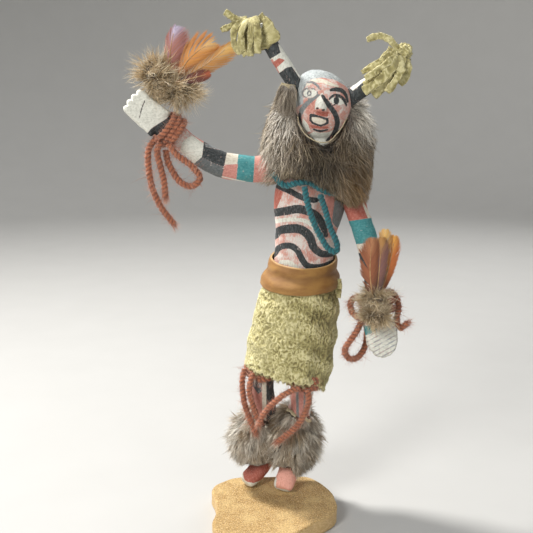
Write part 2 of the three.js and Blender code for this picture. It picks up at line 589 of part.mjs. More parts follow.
// ---- Feathers and down in the hands ----
// A feather is a thin blade, narrow at the quill and round at the tip.
function feather(quill, tip, width, grow = 0, bow = 0) {
  const [from, to] = [new THREE.Vector3(...quill), new THREE.Vector3(...tip)];
  const across = to.clone().sub(from).cross(new THREE.Vector3(...Y_AXIS)).normalize();
  const stations = [[0, 0.22], [0.3, 0.8], [0.65, 1], [0.88, 0.8], [1, 0.3]].map(([t, share]) => {
    const p = from.clone().lerp(to, t).addScaledVector(across, bow * Math.sin(Math.PI * t));
    return [p.x, p.y, p.z, (width / 2) * share, FEATHER_THICKNESS / 2];
  });
  const section = new THREE.BoxGeometry(2, 1, 2, 1, 6, 1);
  return sweep(section, stations, across.toArray(), grow);
}

const RIGHT_FEATHERS = {
  upright: (g) => feather([-57.4, -7, 255], [-54.6, -7, 283.4], 10, g),
  spread: (g) => feather([-53.4, -9, 256.6], [-39.6, -9, 277.6], 17, g),
  long: (g) => feather([-55.8, -11, 254.6], [-24.6, -11, 274.6], 9.6, g, -1.2),
  short: (g) => feather([-54, -13, 255], [-36.2, -13, 259.6], 7.4, g),
};
const LEFT_FEATHERS = {
  outer: (g) => feather([53.8, -27.4, 136], [48.4, -27.4, 170.4], 9.5, g, 0.8),
  middle: (g) => feather([55, -25.6, 137], [56.2, -25.6, 171.4], 10, g),
  long: (g) => feather([56.4, -23.8, 138], [59.6, -23.8, 176.2], 10, g),
  inner: (g) => feather([58, -22, 139], [64.8, -22, 172.4], 10, g, -0.8),
};

const rightDown = () => join([
  ball([-65.4, -9, 258.4], [DOWN_RADIUS * 1.1, DOWN_RADIUS * 0.88, DOWN_RADIUS * 1.25]),
  ball([-56, -9, 250.6], [DOWN_RADIUS, DOWN_RADIUS * 0.85, DOWN_RADIUS * 0.85]),
  ball([-49, -8.6, 251], [DOWN_RADIUS * 0.7, DOWN_RADIUS * 0.66, DOWN_RADIUS * 0.6]),
]);
const leftDown = () => join([
  ball([54.4, -25, 137.6], [DOWN_RADIUS * 0.95, DOWN_RADIUS * 0.75, DOWN_RADIUS * 0.95]),
  ball([55, -26.4, 128.6], [DOWN_RADIUS * 1.05, DOWN_RADIUS * 0.6, DOWN_RADIUS * 0.75]),
]);

// ---- Scene graph ----
const paint = (color, roughness) => new THREE.MeshStandardMaterial({ color, roughness, metalness: 0 });
const WOOD = paint(0xd9b9ae, 0.75);
const WHITE_PAINT = paint(0xe4e3de, 0.75);
const BLACK_PAINT = paint(0x2b2c2c, 0.7);
const SAND = paint(0xbd9a62, 0.95);
const SUEDE = paint(0xb6b282, 0.95);
const LEATHER = paint(0xb98552, 0.7);
const GREY_FUR = paint(0x7d6f62, 0.95);
const PALE_FUR = paint(0x9a8a76, 0.95);
const RUST_YARN = paint(0x9c4c34, 0.95);
const TEAL_YARN = paint(0x1f7f86, 0.95);
const ORANGE_FEATHER = paint(0xb3683a, 0.6);
const BROWN_FEATHER = paint(0x74483a, 0.6);

const doll = new THREE.Group();
const standing = new THREE.Group();
standing.position.z = BASE_THICKNESS;
doll.add(standing);

function put(group, name, solid, material) {
  const mesh = new THREE.Mesh(geometryOf(solid, group === standing ? SIZE : 1), material);
  mesh.name = name;
  group.add(mesh);
}

const wraps = [rightWrap, leftWrap, rightKneeWrap, leftKneeWrap];
const arms = [rightArm, leftArm];
const horns = [rightHorn, leftHorn];

put(doll, 'base', baseSlab(), SAND);
put(standing, 'figure', fit(figure(0), [underBase]), WOOD);
put(standing, 'right_arm', fit(rightArm(0), [torso]), WHITE_PAINT);
put(standing, 'left_arm', fit(leftArm(0), [torso]), WHITE_PAINT);
put(standing, 'right_horn', fit(rightHorn(0), [head]), BLACK_PAINT);
put(standing, 'left_horn', fit(leftHorn(0), [head]), BLACK_PAINT);
put(standing, 'right_horn_tassel', fit(rightTassel(0), [rightHorn, head]), SUEDE);
put(standing, 'left_horn_tassel', fit(leftTassel(0), [leftHorn, head]), SUEDE);
put(standing, 'belt', fit(belt(), [torso]), LEATHER);
put(standing, 'kilt', fit(kilt().add(kiltTail()), [torso, belt]), SUEDE);

put(standing, 'neck_yarn', fit(neckStrand(0), [torso, ...arms]), TEAL_YARN);
put(standing, 'chest_yarn_loop', fit(chestLoop(0), [neckStrand, torso, belt]), TEAL_YARN);
put(standing, 'fur_ruff', fit(ruff(), [torso, head, ...arms, ...horns, neckStrand, chestLoop,
  rightTassel, leftTassel]), GREY_FUR);

put(standing, 'right_wrist_yarn', fit(rightWrap(0), [rightArm]), RUST_YARN);
put(standing, 'left_wrist_yarn', fit(leftWrap(0), [leftArm]), RUST_YARN);
put(standing, 'right_knee_yarn', fit(rightKneeWrap(0), [rightLeg, leftLeg, kilt]), RUST_YARN);
put(standing, 'left_knee_yarn', fit(leftKneeWrap(0), [leftLeg, rightLeg, kilt, rightKneeWrap]), RUST_YARN);

const FREE_YARNS = {
  right_wrist_yarn_tail: rightWristTail,
  right_wrist_yarn_end: rightWristEnd,
  right_wrist_yarn_loop: rightWristLoop,
  left_wrist_yarn_loop: leftWristLoop,
  left_wrist_yarn_bight: leftWristBight,
  left_wrist_yarn_tail: leftWristTail,
  right_knee_yarn_outer: rightKneeTailOuter,
  right_knee_yarn_inner: rightKneeTailInner,
  left_knee_yarn_across: leftKneeTailAcross,
  left_knee_yarn_down: leftKneeTailDown,
};
const laid = [];
for (const [name, cord] of Object.entries(FREE_YARNS)) {
  put(standing, name, fit(cord(0), [...wraps, ...arms, rightLeg, leftLeg, kilt, ...laid]), RUST_YARN);
  laid.push(cord);
}

put(standing, 'left_anklet', fit(leftAnklet(0), [leftLeg, leftFoot, rightLeg, rightFoot, ...laid]),
  PALE_FUR);
put(standing, 'right_anklet', fit(rightAnklet(0), [rightLeg, rightFoot, leftAnklet, ...laid]), PALE_FUR);

const RIGHT_BLADES = Object.values(RIGHT_FEATHERS);
const LEFT_BLADES = Object.values(LEFT_FEATHERS);
for (const [name, blade] of Object.entries(RIGHT_FEATHERS)) {
  put(standing, `right_feather_${name}`, fit(blade(0), [rightArm]), ORANGE_FEATHER);
}
for (const [name, blade] of Object.entries(LEFT_FEATHERS)) {
  put(standing, `left_feather_${name}`, fit(blade(0), [leftArm, leftWrap]), BROWN_FEATHER);
}
put(standing, 'right_hand_down', fit(rightDown(), [rightArm, rightWrap, ...RIGHT_BLADES]), PALE_FUR);
put(standing, 'left_hand_down', fit(leftDown(), [leftArm, leftWrap, ...laid, ...LEFT_BLADES]), PALE_FUR);

export default doll;
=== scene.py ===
import math

import bpy
import numpy as np
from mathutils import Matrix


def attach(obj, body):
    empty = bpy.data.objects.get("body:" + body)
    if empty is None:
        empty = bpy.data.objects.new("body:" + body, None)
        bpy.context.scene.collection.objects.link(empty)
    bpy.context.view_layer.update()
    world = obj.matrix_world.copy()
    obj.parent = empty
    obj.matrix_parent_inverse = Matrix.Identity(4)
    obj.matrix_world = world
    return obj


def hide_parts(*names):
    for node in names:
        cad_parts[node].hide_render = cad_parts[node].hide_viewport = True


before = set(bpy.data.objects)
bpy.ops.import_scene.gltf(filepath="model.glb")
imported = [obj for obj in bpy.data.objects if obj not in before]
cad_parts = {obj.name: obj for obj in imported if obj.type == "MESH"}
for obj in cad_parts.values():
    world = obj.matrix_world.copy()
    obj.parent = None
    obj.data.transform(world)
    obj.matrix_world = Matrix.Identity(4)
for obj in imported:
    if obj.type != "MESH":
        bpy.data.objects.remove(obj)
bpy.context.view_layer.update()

# Lengths are in millimetres, as in the part's source, and become metres in the meshes.
# Figure points are measured from the base's top.
MM = 0.001
STAND = np.array([0.0, 0.0, 10.0])
X, Y, Z = np.eye(3)
rng = np.random.default_rng(11)


# ---- Camera, light and floor ----
CAMERA_AT = np.array([-5.4, -455.0, 259.7])
CAMERA_DOWN = math.radians(12.26)
PIXELS = 533.0                    # the drawing is this wide and high
CENTRE = PIXELS / 2
CAMERA_FOCAL = 800.0              # in those pixels
SENSOR = 36.0

camera_data = bpy.data.cameras.new("camera")
camera_data.sensor_width = SENSOR
camera_data.lens = SENSOR * CAMERA_FOCAL / PIXELS
camera_data.clip_start = 0.01
camera = bpy.data.objects.new("camera", camera_data)
camera.location = CAMERA_AT * MM
camera.rotation_euler = (math.pi / 2 - CAMERA_DOWN, 0, 0)
bpy.context.collection.objects.link(camera)
bpy.context.scene.camera = camera


def drawing(points):
    """Where points fall on the flat front drawing that the painted marks are laid out on."""
    away = points - CAMERA_AT
    depth = away[:, 1] * math.cos(CAMERA_DOWN) - away[:, 2] * math.sin(CAMERA_DOWN)
    rise = away[:, 1] * math.sin(CAMERA_DOWN) + away[:, 2] * math.cos(CAMERA_DOWN)
    return np.stack([CENTRE + CAMERA_FOCAL * away[:, 0] / depth,
                     CENTRE - CAMERA_FOCAL * rise / depth], axis=1)


def on_drawing(marks, y):
    """The points at depth y, or at a depth for each, that fall on these marks of the drawing."""
    marks = np.asarray(marks, float)
    across, rise = (marks[:, 0] - CENTRE) / CAMERA_FOCAL, (CENTRE - marks[:, 1]) / CAMERA_FOCAL
    cos, sin = math.cos(CAMERA_DOWN), math.sin(CAMERA_DOWN)
    share = (np.asarray(y) - CAMERA_AT[1]) / (cos + rise * sin)
    return CAMERA_AT + np.stack([across * share, (cos + rise * sin) * share,
                                 (rise * cos - sin) * share], axis=1)


def inside(at, outline):
    """Distance of drawn places from an outline, above 0 inside it."""
    line = np.asarray(outline, float)
    best = np.full(len(at), 1e9)
    within = np.zeros(len(at), bool)
    for a, b in zip(line, np.roll(line, -1, axis=0)):
        d = b - a
        t = np.clip(((at - a) @ d) / max(d @ d, 1e-9), 0, 1)
        best = np.minimum(best, np.linalg.norm(at - a - t[:, None] * d, axis=1))
        crosses = (a[1] > at[:, 1]) != (b[1] > at[:, 1])
        within ^= crosses & (at[:, 0] < a[0] + (at[:, 1] - a[1]) * d[0] / (d[1] if d[1] else 1e-9))
    return np.where(within, best, -best)


def linear(hex_colour):
    """A colour written as on a screen, as the renderer's linear colour."""
    parts = [int(hex_colour[i:i + 2], 16) / 255 for i in (0, 2, 4)]
    return tuple(c / 12.92 if c <= 0.04045 else ((c + 0.055) / 1.055) ** 2.4 for c in parts) + (1.0,)


def area_light(name, at, size, power, colour):
    """A round lamp at a place in metres that faces the doll."""
    data = bpy.data.lights.new(name, "AREA")
    data.shape = "DISK"
    data.size = size
    data.energy = power
    data.color = colour
    lamp = bpy.data.objects.new(name, data)
    lamp.location = at
    away = np.array(at) - np.array([0, 0, 0.15])
    lamp.rotation_euler = (
        math.atan2(math.hypot(away[0], away[1]), away[2]), 0, math.atan2(away[0], -away[1]))
    bpy.context.collection.objects.link(lamp)


area_light("key", (-0.55, 0.24, 1.05), 0.17, 19.0, (1.0, 0.985, 0.96))
area_light("front", (-0.65, -0.85, 0.8), 0.4, 10.5, (1.0, 0.99, 0.97))
area_light("fill", (0.95, -0.75, 0.5), 0.9, 1.8, (0.96, 0.98, 1.0))
area_light("back", (0.5, 0.85, 0.7), 0.6, 3.0, (1.0, 1.0, 1.0))

bpy.context.scene.view_settings.view_transform = "Standard"
world = bpy.data.worlds.new("studio")
bpy.context.scene.world = world
world.use_nodes = True
world.node_tree.nodes["Background"].inputs[0].default_value = (0.93, 0.96, 1.0, 1)
world.node_tree.nodes["Background"].inputs[1].default_value = 0.33


# ---- Curves and meshes ----
def unit(v):
    return v / np.maximum(np.linalg.norm(v, axis=-1, keepdims=True), 1e-9)


def through(points, ts):
    """Points at shares ts of a smooth curve through the given points."""
    p = np.asarray(points, float)
    ends = np.vstack([2 * p[0] - p[1], p, 2 * p[-1] - p[-2]])
    u = np.clip(np.asarray(ts, float), 0, 1) * (len(p) - 1)
    i = np.minimum(u.astype(int), len(p) - 2)
    w = (u - i)[:, None]
    a, b, c, d = ends[i], ends[i + 1], ends[i + 2], ends[i + 3]

    def gap(q, r):
        return np.sum((q - r) ** 2, axis=1)[:, None] ** 0.25
    g0, g1, g2 = gap(a, b), gap(b, c), gap(c, d)
    g1 = np.where(g1 < 1e-4, 1.0, g1)
    g0 = np.where(g0 < 1e-4, g1, g0)
    g2 = np.where(g2 < 1e-4, g1, g2)
    m1 = ((b - a) / g0 - (c - a) / (g0 + g1) + (c - b) / g1) * g1
    m2 = ((c - b) / g1 - (d - b) / (g1 + g2) + (d - c) / g2) * g1
    w2, w3 = w ** 2, w ** 3
    return b * (2 * w3 - 3 * w2 + 1) + m1 * (w3 - 2 * w2 + w) + c * (3 * w2 - 2 * w3) + m2 * (w3 - w2)


def even(points, count):
    """count points the same distance apart along the smooth curve."""
    fine = through(points, np.linspace(0, 1, 60 * (len(points) - 1) + 1))
    run = np.concatenate([[0], np.cumsum(np.linalg.norm(np.diff(fine, axis=0), axis=1))])
    at = np.linspace(0, run[-1], count)
    return np.stack([np.interp(at, run, fine[:, k]) for k in range(fine.shape[1])], axis=1)


def length_of(points):
    return float(np.linalg.norm(np.diff(points, axis=0), axis=1).sum())


def frames(path):
    """Tangents, and two directions across them that don't twist along the path."""
    along = unit(np.gradient(path, axis=0))
    side = np.zeros_like(path)
    now = Z if abs(along[0][2]) < 0.8 else X
    for i, t in enumerate(along):
        now = now - t * now.dot(t)
        now = now / np.linalg.norm(now)
        side[i] = now
    return along, side, np.cross(along, side)


def grid_faces(rows, columns):
    """Quads of a grid of points whose columns go round."""
    r, c = np.arange(rows - 1)[:, None], np.arange(columns)[None, :]
    n = (c + 1) % columns
    return np.stack([r * columns + c, r * columns + n, (r + 1) * columns + n, (r + 1) * columns + c],
                    axis=-1).reshape(-1, 4)


def ring_faces(rows, columns):
    """Quads of a grid of points that goes round both ways."""
    last, c = (rows - 1) * columns, np.arange(columns)
    n = (c + 1) % columns
    return np.vstack([grid_faces(rows, columns), np.stack([last + c, last + n, n, c], axis=1)])


def mesh_object(name, points, faces, material=None, fields=None):
    """An object from points in millimetres. faces is an array of faces, or a list of such arrays."""
    groups = [np.asarray(f, dtype=np.int32) for f in (faces if isinstance(faces, list) else [faces])]
    groups = [f for f in groups if len(f)]
    mesh = bpy.data.meshes.new(name)
    mesh.vertices.add(len(points))
    mesh.vertices.foreach_set("co", (np.asarray(points) * MM).astype(np.float32).ravel())
    corners = np.concatenate([f.ravel() for f in groups])
    starts, at = [], 0
    for f in groups:
        starts.append(at + np.arange(len(f)) * f.shape[1])
        at += f.size
    mesh.loops.add(len(corners))
    mesh.loops.foreach_set("vertex_index", corners)
    mesh.polygons.add(sum(len(f) for f in groups))
    mesh.polygons.foreach_set("loop_start", np.concatenate(starts).astype(np.int32))
    mesh.update(calc_edges=True)
    mesh.validate()
    mesh.polygons.foreach_set("use_smooth", np.full(len(mesh.polygons), True))
    for field, values in (fields or {}).items():
        mesh.attributes.new(field, "FLOAT", "POINT").data.foreach_set(
            "value", np.asarray(values, dtype=np.float32))
    obj = bpy.data.objects.new(name, mesh)
    bpy.context.collection.objects.link(obj)
    if material:
        mesh.materials.append(material)
    return obj


def points_of(obj):
    flat = np.empty(len(obj.data.vertices) * 3, dtype=np.float32)
    obj.data.vertices.foreach_get("co", flat)
    return flat.reshape(-1, 3).astype(float) / MM


def normals_of(obj):
    flat = np.empty(len(obj.data.vertices) * 3, dtype=np.float32)
    obj.data.vertex_normals.foreach_get("vector", flat)
    return flat.reshape(-1, 3).astype(float)


def joined(parts):
    """One set of points and face arrays from several."""
    points, faces, at = [], {}, 0
    for p, groups in parts:
        for f in (groups if isinstance(groups, list) else [groups]):
            f = np.asarray(f)
            if len(f):
                faces.setdefault(f.shape[1], []).append(f + at)
        points.append(p)
        at += len(p)
    return np.vstack(points), [np.vstack(f) for f in faces.values()]


def closed_tube(rings):
    """Points and faces of a tube from an array of rings, with fans over its ends."""
    rows, columns = rings.shape[:2]
    points = np.vstack([rings.reshape(-1, 3), rings[0].mean(axis=0), rings[-1].mean(axis=0)])
    quads = grid_faces(rows, columns)
    c = np.arange(columns)
    n = (c + 1) % columns
    first = np.stack([n, c, np.full(columns, rows * columns)], axis=1)
    last = (rows - 1) * columns
    second = np.stack([last + c, last + n, np.full(columns, rows * columns + 1)], axis=1)
    return points, [quads, np.vstack([first, second])]


def limb(stations, hint, sides, rows, power=2.0):
    """Rings of a carved limb through stations [x, y, z, half width, half depth].
    power above 2 squares the section."""
    s = np.asarray(stations, float)
    ts = np.linspace(0, 1, rows)
    path, half = through(s[:, :3], ts), through(s[:, 3:], ts)
    along = unit(np.gradient(path, axis=0))
    side = unit(np.array(hint, float) - along * (along @ np.array(hint, float))[:, None])
    front = np.cross(side, along)
    c, w = np.cos(turns(sides)), np.sin(turns(sides))
    cx = np.sign(c) * np.abs(c) ** (2 / power)
    cw = np.sign(w) * np.abs(w) ** (2 / power)
    return (path[:, None] + side[:, None] * (cx * half[:, :1])[..., None]
            + front[:, None] * (cw * half[:, 1:])[..., None])


def wobble(points, scale, seed, octaves=3):
    """Smooth noise about 0, near -1 to 1, for shapes; scale is its wavelength in millimetres."""
    local = np.random.default_rng(seed)
    total = np.zeros(len(points))
    for octave in range(octaves):
        for _ in range(5):
            wave = unit(local.normal(size=3)) * 2 * np.pi / (scale / 2 ** octave)
            total += np.sin(points @ wave + local.uniform(0, 6.28)) / 2 ** octave / 3.2
    return total


def shaken(points, size, scale, seed, octaves=3):
    """Points moved about by smooth noise of this size in millimetres."""
    return points + size * drift(points, scale, seed, octaves)


def drift(points, scale, seed, octaves):
    """Smooth noise about 0 for each of the three axes."""
    return np.stack([wobble(points, scale, seed + k, octaves) for k in range(3)], axis=1)


def turns(count):
    """Angles once round, the last one short of the first."""
    return np.linspace(0, 2 * np.pi, count, endpoint=False)


def ball_rings(rows, columns, bulge=1.0):
    """Rings of a ball of radius 1. bulge may be a function of the angles down and around it."""
    down = np.linspace(0.02, np.pi - 0.02, rows)[:, None]
    around = turns(columns)[None]
    swell = bulge(down, around) if callable(bulge) else bulge
    return np.stack([np.sin(down) * np.cos(around) * swell, np.sin(down) * np.sin(around) * swell,
                     (np.cos(down) + 0 * around) * swell], axis=-1)


def remeshed(name, parts, voxel):
    """One carved skin over several closed forms that run into each other."""
    points, faces = joined(parts)
    rough = mesh_object(name + "_rough", points, faces)
    remesh = rough.modifiers.new("skin", "REMESH")
    remesh.mode = "VOXEL"
    remesh.voxel_size = voxel * MM
    smooth = rough.modifiers.new("smooth", "SMOOTH")
    smooth.factor = 0.5
    smooth.iterations = 4
    view = bpy.context.evaluated_depsgraph_get()
    mesh = bpy.data.meshes.new_from_object(rough.evaluated_get(view))
    bpy.data.objects.remove(rough)
    mesh.name = name
    mesh.materials.clear()
    obj = bpy.data.objects.new(name, mesh)
    bpy.context.collection.objects.link(obj)
    mesh.polygons.foreach_set("use_smooth", np.full(len(mesh.polygons), True))
    return obj


def reshape(obj, points):
    obj.data.vertices.foreach_set("co", (points * MM).astype(np.float32).ravel())
    obj.data.update()


def set_field(obj, name, values):
    layer = obj.data.attributes.get(name) or obj.data.attributes.new(name, "FLOAT", "POINT")
    layer.data.foreach_set("value", np.asarray(values, dtype=np.float32))


def strands(name, root, along, facing, length, width, material, droop=None, *, segments, tone=None, curl):
    """Fine tapered hairs. Each is a strip that starts at root, runs along, and looks towards facing."""
    n = len(root)
    length = np.broadcast_to(length, n)[:, None]
    width = np.broadcast_to(width, n)[:, None]
    droop = np.zeros((n, 3)) if droop is None else droop
    tone = rng.uniform(0, 1, n) if tone is None else tone
    swing = unit(np.cross(along, rng.normal(size=(n, 3)))) * curl
    phase = rng.uniform(0, 6.28, n)[:, None]
    rows, share = [], []
    for k in range(segments + 1):
        s = k / segments
        centre = (root + along * length * s + droop * s * s
                  + swing * length * s * np.sin(phase + 4.2 * s))
        way = unit(along * length + 2 * droop * s)
        side = unit(np.cross(way, facing)) * width * 0.5 * (1 - 0.72 * s)
        if k < segments:
            rows += [centre - side, centre + side]
            share += [np.full(n, s)] * 2
        else:
            rows.append(centre)
            share.append(np.ones(n))
    each = 2 * segments + 1
    points = np.stack(rows, axis=1).reshape(-1, 3)
    first = np.arange(n)[:, None] * each
    quads = [first + np.array([2 * k, 2 * k + 1, 2 * k + 3, 2 * k + 2]) for k in range(segments - 1)]
    tips = first + np.array([2 * segments - 2, 2 * segments - 1, 2 * segments])
    fields = {"hair_along": np.stack(share, axis=1).ravel(), "hair_tone": np.repeat(tone, each)}
    return mesh_object(name, points, quads + [tips], material, fields)


def dress(obj, *nodes, slot=None):
    """The piece rides on the doll and stands for these nodes, which are hidden. slot is not used."""
    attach(obj, "root")
    if nodes:
        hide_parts(*nodes)
    return obj


# ---- Shading ----
class Shade:
    """A small helper that writes a material's nodes. Texture space is in millimetres."""

    def __init__(self, name, roughness):
        self.material = bpy.data.materials.new(name)
        self.material.use_nodes = True
        self.tree = self.material.node_tree
        self.tree.nodes.clear()
        out = self.tree.nodes.new("ShaderNodeOutputMaterial")
        self.surface = self.tree.nodes.new("ShaderNodeBsdfPrincipled")
        self.tree.links.new(self.surface.outputs[0], out.inputs[0])
        self.surface.inputs["Roughness"].default_value = roughness
        place = self.tree.nodes.new("ShaderNodeTexCoord")
        scale = self.tree.nodes.new("ShaderNodeMapping")
        scale.inputs["Scale"].default_value = (1000, 1000, 1000)
        self.tree.links.new(place.outputs["Object"], scale.inputs[0])
        self.space = scale.outputs[0]

    def put(self, socket, value):
        if isinstance(value, bpy.types.NodeSocket):
            self.tree.links.new(value, socket)
        elif isinstance(value, str):
            socket.default_value = linear(value)
        else:
            socket.default_value = value

    def set(self, **inputs):
        for name, value in inputs.items():
            self.put(self.surface.inputs[name.replace("_", " ")], value)

    def stretched(self, stretch):
        node = self.tree.nodes.new("ShaderNodeMapping")
        node.inputs["Scale"].default_value = stretch
        self.tree.links.new(self.space, node.inputs[0])
        return node.outputs[0]

    def noise(self, scale, detail=3.0, rough=0.55, stretch=None):
        node = self.tree.nodes.new("ShaderNodeTexNoise")
        self.put(node.inputs["Vector"], self.stretched(stretch) if stretch else self.space)
        node.inputs["Scale"].default_value = scale
        node.inputs["Detail"].default_value = detail
        node.inputs["Roughness"].default_value = rough
        return node.outputs["Fac"]

    def cells(self, scale):
        node = self.tree.nodes.new("ShaderNodeTexVoronoi")
        self.put(node.inputs["Vector"], self.space)
        node.inputs["Scale"].default_value = scale
        return node.outputs["Distance"]

    def field(self, name):
        node = self.tree.nodes.new("ShaderNodeAttribute")
        node.attribute_type = "GEOMETRY"
        node.attribute_name = name
        return node.outputs["Fac"]

    def math(self, operation, a, b):
        node = self.tree.nodes.new("ShaderNodeMath")
        node.operation = operation
        self.put(node.inputs[0], a)
        self.put(node.inputs[1], b)
        return node.outputs[0]

    def between(self, value, low, high, to_low=0.0, to_high=1.0):
        node = self.tree.nodes.new("ShaderNodeMapRange")
        node.interpolation_type = "SMOOTHSTEP"
        self.put(node.inputs[0], value)
        for i, number in enumerate((low, high, to_low, to_high)):
            node.inputs[i + 1].default_value = number
        return node.outputs[0]

    def mix(self, share, a, b):
        node = self.tree.nodes.new("ShaderNodeMix")
        node.data_type = "RGBA"
        self.put(node.inputs[0], share)
        self.put(node.inputs[6], a)
        self.put(node.inputs[7], b)
        return node.outputs[2]

    def over(self, colour, *coats):
        """Coats over a colour: each has a value, the span that between() maps it with, and a tint."""
        for value, *span, tint in coats:
            colour = self.mix(self.between(value, *span), colour, tint)
        return colour

    def bump(self, height, distance, strength, under=None):
        node = self.tree.nodes.new("ShaderNodeBump")
        node.inputs["Strength"].default_value = strength
        node.inputs["Distance"].default_value = distance * MM
        self.put(node.inputs["Height"], height)
        if under is not None:
            self.put(node.inputs["Normal"], under)
        return node.outputs[0]


def yarn_material(name, dark, middle, light):
    """Spun wool: painted shade in the grooves between the plies, lighter on their crowns, and a fine fibrous
    grain.
    """
    s = Shade(name, 0.9)
    fibres = s.noise(2.6, 4, 0.7)
    blotch = s.noise(0.28, 2)
    # The crown field paints shade into the grooves between the plies.
    s.set(Base_Color=s.over(dark, (s.field("crown"), 0.1, 1.0, middle), (fibres, 0.45, 0.75, 0, 0.6, light),
                            (blotch, 0.4, 0.7, 0, 0.35, dark)), Sheen_Weight=0.25, Sheen_Roughness=0.6)
    s.set(Normal=s.bump(fibres, 0.5, 0.9))
    return s.material


def hair_material(name, root, middle, tip, other, streak):
    """Hair, down or fuzz: colour from root to tip, with some hairs of another tone."""
    s = Shade(name, 0.62)
    along, tone = s.field("hair_along"), s.field("hair_tone")
    s.set(Sheen_Weight=0.15, Base_Color=s.over(
        root, (along, 0.0, 0.5, middle), (along, 0.45, 1.0, tip),
        (tone, streak, streak + 0.25, 0, 0.8, other), (s.noise(0.12, 2), 0.45, 0.7, 0, 0.45, root)))
    return s.material


# ---- Yarn ----
YARN_DIAMETER, YARN_PLIES, YARN_PITCH, YARN_SIDES = 3.6, 2, 4.6, 14
FRAYED_FIBRES = 130


class Wool:
    """A yarn's slot, its wool and its fuzz, with the fibres to a millimetre and how far they reach."""

    def __init__(self, slot, wool, fuzz, streak, wound_fuzz, free_fuzz):
        self.slot = slot
        self.wool = yarn_material(slot + "_wool", *wool)
        self.fuzz = hair_material(slot + "_fuzz", *fuzz, streak)
        self.wound_fuzz, self.free_fuzz = wound_fuzz, free_fuzz


RUST = Wool("rust_yarn", ("683521", "b06643", "dda780"), ("87472f", "b06c50", "d49c82", "e0b49e"),
            0.55, (22, 2.8), (30, 2.9))
TEAL = Wool("teal_yarn", ("083c42", "136c74", "3a989a"), ("0f5258", "1c767d", "4a9fa0", "70b5b4"),
            0.7, (14, 1.3), (14, 1.3))


def yarn_rings(path, diameter, plies, pitch, sides, start=0.0):
    """Rings of a twisted yarn, and how far out on its ply each point is."""
    _, side, front = frames(path)
    run = np.concatenate([[0], np.cumsum(np.linalg.norm(np.diff(path, axis=0), axis=1))])
    angle = turns(sides)
    turn = angle[None] - 2 * np.pi * run[:, None] / pitch - start
    crown = np.abs(np.cos(plies * turn / 2)) ** 0.8
    radius = diameter / 2 * (0.74 + 0.3 * crown)
    radius = radius * (1 + 0.05 * np.sin(run * 1.7 + 1)[:, None])
    rings = (path[:, None] + side[:, None] * (radius * np.cos(angle))[..., None]
             + front[:, None] * (radius * np.sin(angle))[..., None])
    return rings, crown


def yarn_fuzz(name, path, material, per_mm, reach, frayed=False):
    """Loose fibres that stand off a yarn, and a brush of them at a frayed end."""
    count = int(length_of(path) * per_mm)
    at = rng.uniform(0, len(path) - 1.001, count)
    i = at.astype(int)
    centre = path[i] + (path[i + 1] - path[i]) * (at - i)[:, None]
    along, side, front = frames(path)
    angle = rng.uniform(0, 2 * np.pi, count)
    out = side[i] * np.cos(angle)[:, None] + front[i] * np.sin(angle)[:, None]
    way = unit(out * rng.uniform(0.15, 1.0, (count, 1)) + along[i] * rng.normal(0, 0.9, (count, 1))
               + rng.normal(0, 0.35, (count, 3)))
    long = rng.gamma(1.5, reach * 0.45, count).clip(0.5, reach * 3.2)
    root = centre + out * YARN_DIAMETER * 0.42
    if frayed:
        count = FRAYED_FIBRES
        spread = rng.normal(0, 1, (count, 3))
        end = path[-1] + spread * YARN_DIAMETER * 0.17 - along[-1] * rng.uniform(0, 1.5, (count, 1))
        root = np.vstack([root, end])
        way = np.vstack([way, unit(along[-1] + spread * 0.24)])
        out = np.vstack([out, unit(spread - Y)])
        long = np.concatenate([long, rng.uniform(2.2, 5.2, count)])
    droop = (rng.normal(0, 0.4, (len(root), 3)) - Z * 0.3) * long[:, None] * 0.5
    return strands(name, root, way, unit(out + rng.normal(0, 0.5, (len(root), 3))),
                   long, 0.15, material, droop, segments=2, curl=0.18)


def yarn_along(name, node, path, yarn, thickness=1.0, start=0.0):
    """A twisted yarn along a path of points, in place of a node."""
    rings, crown = yarn_rings(path, YARN_DIAMETER * thickness, YARN_PLIES, YARN_PITCH, YARN_SIDES, start)
    points, faces = closed_tube(rings)
    crown = np.concatenate([crown.ravel(), [0.5, 0.5]])
    return dress(mesh_object(name, points, faces, yarn.wool, {"crown": crown}), node, slot=yarn.slot)


def free_yarn(node, yarn, far_end, *route):
    """A loose end or loop of yarn that hangs from the doll."""
    name = node.replace("yarn_", "") + "_wool"
    centre = np.array(route, float) + STAND
    long = length_of(even(centre, 400))
    path = even(centre, max(15, min(40, int(long / 2))))
    fine = even(centre, max(40, int(long / 0.42)))
    obj = yarn_along(name, node, fine, yarn, 0.98, rng.uniform(0, 6))
    fuzz = dress(yarn_fuzz(name + ".fuzz", fine, yarn.fuzz, *yarn.free_fuzz, far_end == "bare"))


free_yarn("chest_yarn_loop", TEAL, "object",
          [15.4, -17.6, 199.4], [16.8, -17.2, 192], [19.9, -15.6, 181.5], [25, -13.6, 170.8],
          [30, -12.6, 163.4], [33.8, -12.4, 162.2], [34.2, -12.6, 166.4], [30.2, -13.4, 176],
          [27, -15.4, 186.6], [24, -17.6, 194.8])
free_yarn("right_wrist_yarn_tail", RUST, "bare",
          [-66.6, -11.8, 224.6], [-70, -12, 219.6], [-70.6, -12, 212.4], [-68.9, -12, 198.7],
          [-64.2, -12, 187.4], [-57.3, -12, 177.9])
free_yarn("right_wrist_yarn_end", RUST, "bare",
          [-63, -15.4, 223.4], [-65, -15.6, 218.6], [-63.6, -15.4, 210.7], [-61.9, -15, 202.6],
          [-61.2, -15, 193.2])
free_yarn("right_wrist_yarn_loop", RUST, "object",
          [-58.8, -16.8, 222.6], [-54.4, -17.4, 217], [-46, -17, 210.4], [-41.9, -16, 203.9],
          [-46.2, -14.6, 199.4], [-52.4, -13.4, 201], [-57.4, -12.4, 207.6], [-60.2, -11.6, 214],
          [-60.6, -11.6, 219])
